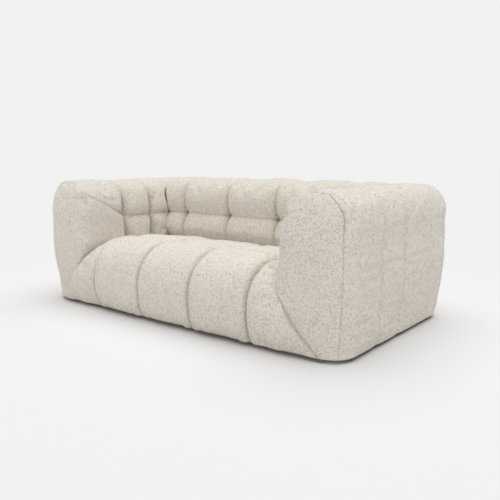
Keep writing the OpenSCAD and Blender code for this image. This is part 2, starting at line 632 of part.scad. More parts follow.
foot_inset = 70;
arm_foot_x = (half_w + rail_t + side_x) / 2;
arm_feet_y = [frame_front + foot_inset, arm_frame_rear - foot_inset];
seat_foot_y = frame_front + foot_inset;
back_foot_y = frame_rear - foot_inset;
foot_places = concat(
    [for (sx = [-1, 1], y = arm_feet_y) [sx * arm_foot_x, y]],
    [[0, seat_foot_y], [0, back_foot_y]]
);
screw_gap = 0.2;
screw_head_d = 2 * screw_d;
screw_head_h = 3;
foot_edge = 3;
module screw_hole() translate([0, 0, -1]) cylinder(d = screw_d + screw_gap, h = screw_l + 1.5, $fn = 32);
module at_feet() for (p = foot_places) translate([p[0], p[1], 0]) children();
module feet() color(plastic) at_feet() difference() {
    rotate_extrude($fn = 72) polygon([
        [0, pad_t], [foot_d / 2 - foot_edge, pad_t], [foot_d / 2, foot_h - foot_edge], [foot_d / 2, foot_h],
        [0, foot_h]
    ]);
    cylinder(d = screw_d + 2 * screw_gap, h = 2 * foot_h, $fn = 32);
    translate([0, 0, pad_t - 1])
        cylinder(d = screw_head_d + 2 * screw_gap, h = screw_head_h + 1 + screw_gap, $fn = 32);
}
module foot_pads() color(felt_col) at_feet() cylinder(d = foot_d - 2 * foot_edge, h = pad_t, $fn = 64);
module foot_screws() color(steel) at_feet() translate([0, 0, pad_t]) {
    cylinder(d = screw_head_d, h = screw_head_h, $fn = 32);
    translate([0, 0, screw_head_h / 2])
        cylinder(d = screw_d, h = base_z + screw_l - pad_t - screw_head_h / 2, $fn = 32);
}
// The dust cover laps a little over the turned-in edges of the covers
dust_lap = 4;
dust_x = side_x + side_foam_t + dust_lap;
module dust_outline() {
    translate([-dust_x, frame_front - dust_lap])
        square([2 * dust_x, arm_frame_rear - frame_front + 2 * dust_lap]);
    translate([-half_w + dust_lap, frame_front - rail_t - dust_lap])
        square([2 * (half_w - dust_lap), frame_rear - frame_front + rail_t + 2 * dust_lap]);
}
module dust_cover() color(black_cloth) difference() {
    translate([0, 0, foot_h]) linear_extrude(dust_t) dust_outline();
    at_feet() cylinder(d = screw_d + 2 * screw_gap, h = 2 * foot_h, $fn = 32);
}

// A bolt's head and washer sit inside the seat frame, and its tee nut in the arm or the back
bolt_l = 2 * rail_t + washer_t + nut_t + 4;
module at_arm_bolts() for (side = [0, 1], y = arm_bolt_y) mirror([side, 0, 0])
    translate([half_w - rail_t, y, bolt_z]) rotate([0, 90, 0]) children();
module at_back_bolts() for (x = back_bolt_x)
    translate([x, seat_back_y - rail_t, bolt_z]) rotate([-90, 0, 0]) children();
module bolt() {
    translate([0, 0, -washer_t - head_h]) cylinder(d = head_d, h = head_h, $fn = 48);
    translate([0, 0, -washer_t - head_h / 2]) cylinder(d = bolt_d, h = bolt_l + head_h / 2, $fn = 48);
}
module ring(d, t) difference() {
    cylinder(d = d, h = t, $fn = 48);
    translate([0, 0, -1]) cylinder(d = bolt_d + 2 * bolt_gap, h = t + 2, $fn = 48);
}
module arm_bolts() color(steel) at_arm_bolts() bolt();
module back_bolts() color(steel) at_back_bolts() bolt();
module bolt_washers() color(steel) {
    at_arm_bolts() translate([0, 0, -washer_t]) ring(washer_d, washer_t);
    at_back_bolts() translate([0, 0, -washer_t]) ring(washer_d, washer_t);
}
module tee_nuts() color(steel) {
    at_arm_bolts() translate([0, 0, 2 * rail_t]) ring(nut_d, nut_t);
    at_back_bolts() translate([0, 0, 2 * rail_t]) ring(nut_d, nut_t);
}

module left() mirror([1, 0, 0]) children();

seat_cover();
seat_foam();
seat_felt_pad();
seat_front_rail();
seat_rear_rail();
seat_side_rails();
seat_centre_rail();
seat_corner_blocks();
seat_springs();
spring_clips();
spring_tie_wires();
dust_cover();
left() arm_cover();  // left_arm_cover
left() arm_front_panel();  // left_arm_front_panel
left() arm_foam();  // left_arm_foam
left() arm_formers();  // left_arm_formers
left() arm_top_board();  // left_arm_top_board
left() arm_base_board();  // left_arm_base_board
left() arm_lower_rail();  // left_arm_lower_rail
left() arm_inner_board();  // left_arm_inner_board
left() arm_outer_board();  // left_arm_outer_board
arm_cover();  // right_arm_cover
arm_front_panel();  // right_arm_front_panel
arm_foam();  // right_arm_foam
arm_formers();  // right_arm_formers
arm_top_board();  // right_arm_top_board
arm_base_board();  // right_arm_base_board
arm_lower_rail();  // right_arm_lower_rail
arm_inner_board();  // right_arm_inner_board
arm_outer_board();  // right_arm_outer_board
back_cover();
back_foam();
back_formers();
back_top_board();
back_base_board();
back_lower_rail();
back_webbing();
back_outer_board();
arm_bolts();
back_bolts();
bolt_washers();
tee_nuts();
feet();
foot_pads();
foot_screws();
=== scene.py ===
"""Low tuxedo sofa: padded boucle covers, the finishes of its frame, and a plain studio.

Every length is in metres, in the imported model's own frame: X runs across the sofa, its front
faces -Y and the floor is Z = 0. Each cover is a grid of points worked out as whole arrays: a base
line or ring carries the sewn seams, the padding stands up between them along the surface's normals,
and a coarser inner skin closes the piece.
"""
import logging
import math
from collections.abc import Callable
from dataclasses import dataclass
from enum import Enum

import bpy
import numpy as np
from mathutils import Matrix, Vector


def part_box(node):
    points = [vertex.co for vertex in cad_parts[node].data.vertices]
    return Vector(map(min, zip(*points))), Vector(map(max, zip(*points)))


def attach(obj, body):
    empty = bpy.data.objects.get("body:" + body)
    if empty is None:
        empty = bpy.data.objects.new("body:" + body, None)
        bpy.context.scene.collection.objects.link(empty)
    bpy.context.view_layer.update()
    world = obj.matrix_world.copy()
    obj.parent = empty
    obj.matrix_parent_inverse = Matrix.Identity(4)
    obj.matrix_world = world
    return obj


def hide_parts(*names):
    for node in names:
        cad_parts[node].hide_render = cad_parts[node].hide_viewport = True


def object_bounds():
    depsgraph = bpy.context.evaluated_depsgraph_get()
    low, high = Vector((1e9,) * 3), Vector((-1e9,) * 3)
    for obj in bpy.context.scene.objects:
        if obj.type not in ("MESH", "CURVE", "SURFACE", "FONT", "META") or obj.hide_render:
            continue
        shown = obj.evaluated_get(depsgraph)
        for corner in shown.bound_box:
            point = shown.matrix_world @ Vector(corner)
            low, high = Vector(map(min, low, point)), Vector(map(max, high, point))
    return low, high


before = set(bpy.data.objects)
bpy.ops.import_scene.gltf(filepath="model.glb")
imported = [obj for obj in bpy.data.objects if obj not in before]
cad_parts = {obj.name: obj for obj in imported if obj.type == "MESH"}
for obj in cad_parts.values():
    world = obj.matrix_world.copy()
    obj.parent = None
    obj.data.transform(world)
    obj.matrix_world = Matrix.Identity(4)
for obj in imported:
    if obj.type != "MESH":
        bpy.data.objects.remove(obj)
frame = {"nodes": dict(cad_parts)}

log = logging.getLogger("sofa")
Array = np.ndarray
Spans = dict[str, slice]
Colour = tuple[float, float, float]
Thing = bpy.types.Object
Socket = bpy.types.NodeSocket
Value = float | Colour | Socket
CAD_LOW, CAD_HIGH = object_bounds()

# Superellipse power of every rolled edge
ROLL_POWER = 2.2
# Fine cells along each side of one cell of the inner skin
STEP = 4
# Corners of a grid's cell as steps of row and column, in turning order
CELL_CORNERS = ((0, 0), (0, 1), (1, 1), (1, 0))
# Places of the seams between the five channels, in channel widths from the middle
INNER_SEAMS = (-1.5, -0.5, 0.5, 1.5)
QUARTER = math.pi / 2


def unit(value: Array) -> Array:
    """Value held between 0 and 1."""
    return np.clip(value, 0.0, 1.0)


def mix(start: Array, end: Array, share: Array) -> Array:
    """Start plus the share of the way from start to end."""
    return start + (end - start) * share


def smooth(value: Array) -> Array:
    """Ease from 0 to 1: 3v^2 - 2v^3 of the value held between 0 and 1."""
    held = unit(value)
    return held * held * (3.0 - 2.0 * held)


def roll_in(share: Array) -> Array:
    """Inward travel of a rolled edge: 1 - (1 - s^p)^(1/p), p the roll power."""
    return 1.0 - (1.0 - unit(share) ** ROLL_POWER) ** (1.0 / ROLL_POWER)


def superellipse(angle: Array) -> tuple[Array, Array]:
    """Across and up on a rolled edge: cosine and sine to the power 2/p, p the roll power."""
    power = 2.0 / ROLL_POWER
    return np.cos(angle).clip(0.0) ** power, np.sin(angle) ** power


def crease(distance: Array, width: float) -> Array:
    """Soft valley: the square of 1 minus the distance over the width, 0 beyond the width."""
    return (1.0 - unit(np.abs(distance) / width)) ** 2


def cusp(distance: Array, width: Array) -> Array:
    """Sewn valley with a sharp foot: (1 - (d/w)^0.75)^2, 0 beyond the width."""
    return (1.0 - unit(np.abs(distance) / width) ** 0.75) ** 2


def rounded(distance: Array, width: Array) -> Array:
    """Rise of padding from a seam: (1 - (1 - d/w)^p)^0.6, p the roll power, 1 from the width on."""
    return (1.0 - (1.0 - unit(distance / width)) ** ROLL_POWER) ** 0.6


def bump(distance_squared: Array, reach: float) -> Array:
    """Gaussian hill of height 1: exp(-(d/reach)^2)."""
    return np.exp(-distance_squared / reach**2)


def length_along(points: Array) -> Array:
    """Length along a line up to each of its points, measured on the first two columns."""
    steps = np.hypot(*np.diff(points[:, :2], axis=0).T)
    return np.concatenate([[0.0], np.cumsum(steps)])


def resample(points: Array, cells: int) -> Array:
    """Points at even steps of the length measured on the first two columns.

    Args:
        points: rows of (y, z, more values), in order along the line.
        cells: number of even steps.

    Returns:
        cells + 1 rows, every column interpolated by the length along the line.
    """
    along = length_along(points)
    places = np.linspace(0.0, along[-1], cells + 1)
    return np.stack([np.interp(places, along, column) for column in points.T], axis=1)


def chain(parts: list[tuple[Array, int]]) -> Array:
    """Lines set end to end, each with its own number of even steps and its shared ends once."""
    rows = [resample(points, cells)[:-1] for points, cells in parts]
    return np.concatenate(rows + [parts[-1][0][-1:]])


@dataclass(frozen=True)
class Unevenness:
    """Gentle seeded unevenness of hand-filled padding.

    The value at a point is the sum of sines of random direction and phase, with wavelengths spread
    evenly between the two given ones, scaled to the amplitude.
    """

    seed: int
    amplitude: float = 0.0022
    shortest: float = 0.07
    longest: float = 0.30
    waves: int = 22

    def at(self, points: Array) -> Array:
        """Unevenness at some points.

        Args:
            points: places of shape (..., 3).

        Returns:
            Heights of shape (...).
        """
        draw = np.random.default_rng(self.seed)
        direction = draw.normal(size=(self.waves, 3))
        direction /= np.linalg.norm(direction, axis=1, keepdims=True)
        length = np.linspace(self.shortest, self.longest, self.waves)
        phase = draw.uniform(0.0, 2.0 * math.pi, self.waves)
        angle = points @ (direction * (2.0 * math.pi / length)[:, None]).T + phase
        weight = length / length.mean()
        return self.amplitude * (np.sin(angle) * weight).sum(axis=-1) / math.sqrt(self.waves / 2)


@dataclass(frozen=True)
class SofaForm:
    """Sizes and section curves that the covers share with the frame inside them.

    Names end in _x, _y or _z for a place, in _d for a depth, _w for a width, _h for a height, _r for
    a radius and _t for a thickness.
    """

    front_y: float
    rear_y: float
    height: float
    side_x: float
    half_w: float
    seat_back_y: float
    base_z: float
    seat_h: float
    rail_front_y: float
    frame_rear_y: float
    seat_crown: float = 0.040
    seat_tuft_d: float = 0.253
    seat_roll_d: float = 0.212
    fall_angle: float = 52.0
    belly_z: float = 0.165
    belly_lift: float = 0.020
    hem_lift: float = 0.008
    hem_tuck: float = 0.028
    hem_turn: float = 0.010
    hem_fade_h: float = 0.150
    channel_w: float = 0.345
    arm_seam_1: float = 0.350
    arm_seam_2: float = 0.560
    tuft_z: float = 0.475
    row_soft: float = 0.32
    row_soft_w: float = 0.075
    row_sharp: float = 0.16
    row_sharp_w: float = 0.045
    arm_crown: float = 0.060
    arm_ease_h: float = 0.040
    arm_over: float = 0.22
    arm_over_z: float = 0.520
    arm_over_h: float = 0.150
    arm_roll_z: float = 0.470
    arm_roll_w: float = 0.165
    outer_roll_w: float = 0.130
    outer_roll_h: float = 0.140
    flare_z: float = 0.360
    flare_w: float = 0.235
    arm_setback: float = 0.027
    front_roll_d: float = 0.090
    front_flat: float = 0.008
    corner_r: float = 0.130
    least_corner_r: float = 0.025
    inner_corner_r: float = 0.007
    inner_growth: float = 0.088
    growth_lead: float = 0.100
    growth_h: float = 0.150
    panel_flat: float = 0.005
    groove_d: float = 0.022
    groove_w: float = 0.060
    groove_foot_w: float = 0.020
    back_tuft_d: float = 0.053
    back_bulge_d: float = 0.023
    back_bulge_h: float = 0.105
    back_top_d: float = 0.095
    back_crown: float = 0.038
    back_ease_h: float = 0.055
    rear_crown: float = 0.015
    top_lap: float = 0.025
    panel_drop: float = 0.005
    panel_lead: float = 0.012
    slant_d: float = 0.235
    slant_h: float = 0.130
    top_slant_d: float = 0.060
    top_slant_h: float = 0.050
    split_start: float = -45.0
    split_turn: float = 38.0
    split_h: float = 0.120
    skin_t: float = 0.012
    gap: float = 0.0003

    @classmethod
    def from_frame(cls) -> "SofaForm":
        """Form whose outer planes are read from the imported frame, to the millimetre."""
        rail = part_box("seat_side_rails")
        return cls(
            front_y=round(CAD_LOW.y, 3),
            rear_y=round(CAD_HIGH.y, 3),
            height=round(CAD_HIGH.z, 3),
            side_x=round(CAD_HIGH.x, 3),
            half_w=round(rail[1].x, 3),
            seat_back_y=round(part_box("seat_rear_rail")[1].y, 3),
            base_z=round(rail[0].z, 3),
            seat_h=round(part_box("seat_cover")[1].z, 3),
            rail_front_y=round(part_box("seat_front_rail")[0].y, 3),
            frame_rear_y=round(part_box("back_outer_board")[1].y, 3),
        )

    @property
    def seam_z(self) -> float:
        """Height of the seat's sewn seams."""
        return self.seat_h - self.seat_crown

    @property
    def seat_rear_z(self) -> float:
        """Height that the falling seams reach at the back, as high as the front roll at an angle."""
        share = math.sin(math.radians(self.fall_angle)) ** (2.0 / ROLL_POWER)
        return mix(self.belly_z, self.seam_z, share)

    @property
    def seat_tuft_y(self) -> float:
        """Place of the seat's cross seam."""
        return self.front_y + self.seat_tuft_d

    @property
    def seam_1_y(self) -> float:
        """Place of the arms' first seam."""
        return self.front_y + self.arm_seam_1

    @property
    def seam_2_y(self) -> float:
        """Place of the arms' second seam."""
        return self.front_y + self.arm_seam_2

    @property
    def panel_top(self) -> float:
        """Height of the seam over an arm's front panel."""
        return self.height - self.panel_drop

    @property
    def top_seam_z(self) -> float:
        """Height of the sewn seams on top of the back."""
        return self.height - self.rear_crown

    @property
    def rear_seam_y(self) -> float:
        """Plane of the sewn seams behind the back."""
        return self.rear_y - self.rear_crown

    def flare(self, z: Array) -> Array:
        """Widening of the seat towards the floor: w ((h - z)/h)^1.6 below the flare's height h."""
        return self.flare_w * unit((self.flare_z - z) / self.flare_z) ** 1.6

    def hem(self, z: Array) -> Array:
        """Draw-in of the sides towards the floor: tuck times the square of the share below h."""
        return self.hem_tuck * unit((self.flare_z - z) / self.flare_z) ** 2

    def hem_fade(self, z: Array) -> Array:
        """Share of a seam's depth that is left near the floor: from 0.3 at the hem up to 1."""
        return mix(0.3, 1.0, unit((z - self.base_z) / self.hem_fade_h))

    def hem_corner(self, face_y: float, inward: float, angle: Array) -> tuple[Array, Array]:
        """Y and Z of the quarter circle that turns a face under the hem.

        Args:
            face_y: plane of the face above the hem.
            inward: 1 if the middle of the sofa lies behind the face, -1 if in front of it.
            angle: 0 on the face, a right angle under the hem.

        Returns:
            Y and Z: face + inward turn (1 - cos) and base + turn (1 - sin).
        """
        y = face_y + inward * self.hem_turn * (1.0 - np.cos(angle))
        return y, self.base_z + self.hem_turn * (1.0 - np.sin(angle))

    def arm_roll(self, z: Array) -> Array:
        """Share of the roll over an arm's inner and front top edges at a height."""
        return roll_in((z - self.arm_roll_z) / (self.height - self.arm_roll_z))

    def top_roll(self, z: Array) -> Array:
        """Share of the roll over the outer top edges at a height."""
        return roll_in((z - self.height + self.outer_roll_h) / self.outer_roll_h)

    def inner_x(self, z: Array) -> Array:
        """Crest of an arm's inner channels: half width - crown + flare + roll."""
        return self.half_w - self.arm_crown + self.flare(z) + self.arm_roll_w * self.arm_roll(z)

    def outer_x(self, z: Array) -> Array:
        """Outer face of an arm: side - hem - roll."""
        return self.side_x - self.hem(z) - self.outer_roll_w * self.top_roll(z)

    def arm_front(self, z: Array) -> Array:
        """Front face of an arm: front + setback + hem + roll."""
        start = self.front_y + self.arm_setback
        return start + self.hem(z) + self.front_roll_d * self.arm_roll(z)

    def arm_rear(self, z: Array) -> Array:
        """Rear face of an arm: rear - a third of the crown - hem - roll."""
        end = self.rear_y - self.rear_crown / 3.0
        return end - self.hem(z) - self.outer_roll_w * self.top_roll(z)

    def rear_corner(self, z: Array) -> Array:
        """Plan radius of the rear corners, which the top roll tightens."""
        return np.maximum(self.least_corner_r, self.corner_r - self.outer_roll_w * self.top_roll(z))

    def front_corner(self, z: Array) -> Array:
        """Plan radius of the outer front corner, held inside the arm's width."""
        return np.minimum(self.rear_corner(z), self.outer_x(z) - self.inner_x(z) - self.front_flat)

    def inner_corner(self, z: Array) -> Array:
        """Plan radius of the inner front corner: small beside the seat, wide above it."""
        above = unit((z - self.seam_z + self.growth_lead) / self.growth_h)
        grown = self.inner_corner_r + self.inner_growth * above
        room = self.panel_y(z) - self.arm_front(z) - self.panel_flat
        return np.minimum(np.minimum(grown, self.front_corner(z)), room)

    def panel_y(self, z: Array) -> Array:
        """Seam between an arm's front panel and its cover on the inner face.

        It stands upright just before the first seam up to the cross seam and slants forward above
        it, first by d t^1.1 and then evenly, until it stops one lap behind the arm's front.
        """
        above = z - self.tuft_z
        slant = self.slant_d * unit(above / self.slant_h) ** 1.1
        slant = slant + self.top_slant_d * unit((above - self.slant_h) / self.top_slant_h)
        return np.maximum(self.seam_1_y - self.panel_lead - slant, self.arm_front(z) + self.top_lap)

    def split_angle(self, z: Array) -> Array:
        """Angle of the panel's outer seam round the corner, which arcs forward near the top.

        It turns by a quarter ellipse: 1 - sqrt(1 - t^2) of the turn at the share t of the height.
        """
        share = unit((z - self.panel_top + self.split_h) / self.split_h)
        return np.radians(self.split_start - self.split_turn * (1.0 - np.sqrt(1.0 - share**2)))

    def fall(self, y: Array) -> Array:
        """Height of the seat's seams, which fall evenly from the cross seam to the back."""
        share = unit((y - self.seat_tuft_y) / (self.seat_back_y - self.seat_tuft_y))
        return mix(self.seam_z, self.seat_rear_z, share)

    def lean(self, z: Array) -> Array:
        """Front of the back along its seams.

        It goes back by the cube of the share up to the cross seam, forward again by a square to the
        bulge above it, and then over the top by the roll.
        """
        low = self.back_tuft_d * unit((z - self.seat_rear_z) / (self.tuft_z - self.seat_rear_z)) ** 3
        bulge_z = self.tuft_z + self.back_bulge_h
        dip = (self.back_tuft_d - self.back_bulge_d) * unit((bulge_z - z) / self.back_bulge_h) ** 2
        over = roll_in((z - bulge_z) / (self.top_seam_z - bulge_z))
        high = self.back_bulge_d + dip + (self.back_top_d - self.back_bulge_d) * over
        return self.seat_back_y + np.where(z < self.tuft_z, low, high)

    def tuft_row(self, z: Array) -> Array:
        """Share of the channels' height that the cross seam leaves at a height."""
        soft = self.row_soft * crease(z - self.tuft_z, self.row_soft_w)
        return 1.0 - soft - self.row_sharp * cusp(z - self.tuft_z, self.row_sharp_w)

    def arm_depth(self, z: Array) -> Array:
        """Depth of an arm's seams below the channels' crest, less over the top."""
        over = mix(1.0, self.arm_over, smooth((z - self.arm_over_z) / self.arm_over_h))
        return self.arm_crown * unit((z - self.seat_rear_z) / self.arm_ease_h) * over

    def back_depth(self, z: Array) -> Array:
        """Height of the back's front channels, which start above the seat."""
        above_seat = self.seat_rear_z + 0.4 * self.seat_crown
        return self.back_crown * unit((z - above_seat) / self.back_ease_h)

    def corner_width(self, z: Array) -> Array:
        """How far the arms' channels stand in front of the back's end seams."""
        return np.maximum(self.half_w - self.inner_x(z), 0.0)

    def groove(self, distance: Array) -> Array:
        """Share of a soft groove at an outer seam with a fine sewn line at its foot."""
        return 0.75 * crease(distance, self.groove_w) + 0.25 * cusp(distance, self.groove_foot_w)

    def turn_up(self, profile: Callable[[Array], Array], z: Array) -> Array:
        """Angle by which the normal of an upright profile has turned up from level.

        Args:
            profile: place of the face at each height.
            z: heights.

        Returns:
            Angles: the arctangent of the profile's slope over a millimetre of height.
        """
        tiny = 0.0005
        high = np.minimum(z + tiny, self.height)
        low = high - 2.0 * tiny
        return np.arctan2(profile(high) - profile(low), high - low)


@dataclass
class Skin:
    """Closed padded skin over a grid of outer points.

    The outer grid has a multiple of STEP cells each way. The inner skin keeps every STEP-th point.
    A mask of inner cells says which part of the grid belongs to the piece, and a rim of triangles
    joins both skins along the mask's edge.
    """

    outer: Array
    inner: Array
    # Share of painted shade at each outer point, from 0 to 1
    painted_shade: Array
    wraps: bool = False

    @property
    def cells(self) -> tuple[int, int]:
        """Rows and columns of cells of the inner skin."""
        rows, columns = self.inner.shape[:2]
        return rows - 1, columns if self.wraps else columns - 1

    def _number(self, shape: tuple[int, int], row: Array, column: Array, start: int) -> Array:
        """Vertex numbers of grid places, with the last column on the first if the grid wraps."""
        return start + row * shape[1] + (column % shape[1] if self.wraps else column)

    def _quads(self, cells: Array, shape: tuple[int, int], start: int) -> Array:
        """One quad for each true cell, turning from along the columns to along the rows."""
        row, column = np.nonzero(cells)
        return np.stack([self._number(shape, row + r, column + c, start) for r, c in CELL_CORNERS], 1)

    def _rim(self, mask: Array, capped: bool) -> Array:
        """Triangles that join both skins along the mask's edge.

        Each edge takes five: STEP fine edges go to the nearer end of one coarse edge, and one
        triangle fills the middle.

        Args:
            mask: one true or false for each cell of the inner skin.
            capped: whether the last row needs no rim, because it is closed along its length.

        Returns:
            Point numbers of shape (triangles, 3).
        """
        padded = np.pad(mask, 1)
        if self.wraps:
            padded[:, 0], padded[:, -1] = padded[:, -2], padded[:, 1]
        if capped:
            padded[-1] = padded[-2]
        inside = padded[1:-1, 1:-1]
        beyond = (padded[:-2, 1:-1], padded[1:-1, 2:], padded[2:, 1:-1], padded[1:-1, :-2])
        fine, coarse = self.outer.shape[:2], self.inner.shape[:2]
        base = fine[0] * fine[1]
        half = STEP // 2
        triangles = []
        for outside, first, last in zip(beyond, CELL_CORNERS, CELL_CORNERS[1:] + CELL_CORNERS[:1]):
            row, column = np.nonzero(inside & ~outside)
            down, across = last[0] - first[0], last[1] - first[1]
            rows = [(row + first[0]) * STEP + down * k for k in range(STEP + 1)]
            columns = [(column + first[1]) * STEP + across * k for k in range(STEP + 1)]
            edge = [self._number(fine, *place, 0) for place in zip(rows, columns)]
            start, end = [self._number(coarse, row + r, column + c, base) for r, c in (first, last)]
            for k in range(STEP):
                nearer = start if k < half else end
                triangles.append(np.stack([edge[k + 1], edge[k], nearer], 1))
            triangles.append(np.stack([edge[half], start, end], 1))
        return np.concatenate(triangles)

    def _seal(self, key: Array) -> Array:
        """Triangles that close a narrow ring along its length.

        Both sides run from the least key to the greatest. Each edge of one side is joined to the
        point of the other side that lies beside the edge's middle.

        Args:
            key: place of each point of the ring along its length.

        Returns:
            Point numbers of shape (triangles, 3).
        """
        low, high, count = int(np.argmin(key)), int(np.argmax(key)), len(key)
        ahead = (low + np.arange((high - low) % count + 1)) % count
        behind = (low - np.arange((low - high) % count + 1)) % count
        along = [np.maximum.accumulate(key[side]) for side in (ahead, behind)]
        first, second = [(places[1:] + places[:-1]) / 2.0 for places in along]
        beside_first = behind[np.searchsorted(second, first, side="left")]
        beside_second = ahead[np.searchsorted(first, second, side="right")]
        triangles = np.concatenate(
            [
                np.stack([ahead[:-1], ahead[1:], beside_first], 1),
                np.stack([behind[1:], behind[:-1], beside_second], 1),
            ]
        )
        return triangles[(triangles[:, 0] != triangles[:, 2]) & (triangles[:, 1] != triangles[:, 2])]

    def faces(self, mask: Array, capped: bool) -> list[Array]:
        """Polygons of the masked part, as arrays of vertex numbers.

        Args:
            mask: one true or false for each cell of the inner skin.
            capped: whether the last row is closed along its length on each skin.

        Returns:
            Arrays of shape (faces, corners).
        """
        fine, coarse = self.outer.shape[:2], self.inner.shape[:2]
        base = fine[0] * fine[1]
        cells = np.kron(mask, np.ones((STEP, STEP), bool))
        groups = [self._quads(cells, fine, 0), self._quads(mask, coarse, base)[:, ::-1]]
        if capped:
            key = self.outer[-1, :, 1]
            groups.append((fine[0] - 1) * fine[1] + self._seal(key))
            groups.append(base + (coarse[0] - 1) * coarse[1] + self._seal(key[::STEP])[:, ::-1])
        groups.append(self._rim(mask, capped))
        return groups

    def mesh(self, name: str, mask: Array, mirrored: bool = False, capped: bool = False) -> Thing:
        """Blender object of the masked part, at the origin.

        Args:
            name: name of the piece.
            mask: cells of the inner skin that belong to the piece.
            mirrored: whether the piece is the left-hand one, with X turned round.
            capped: whether the last row is closed along its length.

        Returns:
            The object, with smooth faces and an attribute of painted shade from 0 to 1.
        """
        points = np.concatenate([self.outer.reshape(-1, 3), self.inner.reshape(-1, 3)])
        # The inner skin's points get full painted shade
        painted_shade = np.concatenate([self.painted_shade.ravel(), np.ones(len(points) - self.painted_shade.size)])
        groups = self.faces(mask, capped)
        if mirrored:
            points = points * np.array([-1.0, 1.0, 1.0])
            groups = [group[:, ::-1] for group in groups]
        used = np.unique(np.concatenate([group.ravel() for group in groups]))
        renumber = np.full(len(points), -1)
        renumber[used] = np.arange(len(used))
        kept = [renumber[group] for group in groups]
        return polygon_object(name, points[used], kept, {"painted_shade": painted_shade[used]})


def polygon_object(
    name: str, points: Array, groups: list[Array], attributes: dict[str, Array] | None = None
) -> Thing:
    """Object at the origin from points and polygons.

    Args:
        name: name of the object and its mesh.
        points: vertices, shape (n, 3).
        groups: polygon arrays of shape (faces, corners), each with its own number of corners.
        attributes: values by name, one for each vertex.

    Returns:
        The linked object with smooth faces.
    """
    mesh = bpy.data.meshes.new(name)
    corners = np.concatenate([group.ravel() for group in groups]).astype(np.int32)
    totals = np.concatenate([np.full(len(group), group.shape[1]) for group in groups])
    starts = np.concatenate([[0], np.cumsum(totals)[:-1]]).astype(np.int32)
    mesh.vertices.add(len(points))
    mesh.vertices.foreach_set("co", points.astype(np.float32).ravel())
    mesh.loops.add(len(corners))
    mesh.loops.foreach_set("vertex_index", corners)
    mesh.polygons.add(len(totals))
    mesh.polygons.foreach_set("loop_start", starts)
    mesh.polygons.foreach_set("use_smooth", np.ones(len(totals), bool))
    mesh.update(calc_edges=True)
    for key, values in (attributes or {}).items():
        layer = mesh.attributes.new(key, "FLOAT", "POINT")
        layer.data.foreach_set("value", values.astype(np.float32))
    return placed(name, mesh)


def placed(name: str, data: bpy.types.ID) -> Thing:
    """New object of a mesh, lamp or camera, linked to the scene at the origin."""
    thing = bpy.data.objects.new(name, data)
    bpy.context.scene.collection.objects.link(thing)
    return thing


def normals_of(points: Array, wraps: bool = False) -> Array:
    """Unit normals of a grid: along the columns crossed with along the rows.

    Args:
        points: grid of shape (rows, columns, 3).
        wraps: whether the last column is next to the first.

    Returns:
        Normals of the same shape.
    """
    if wraps:
        across = np.roll(points, -1, axis=1) - np.roll(points, 1, axis=1)
    else:
        across = np.gradient(points, axis=1)
    normal = np.cross(across, np.gradient(points, axis=0))
    length = np.linalg.norm(normal, axis=2, keepdims=True)
    return normal / np.maximum(length, 1e-12)


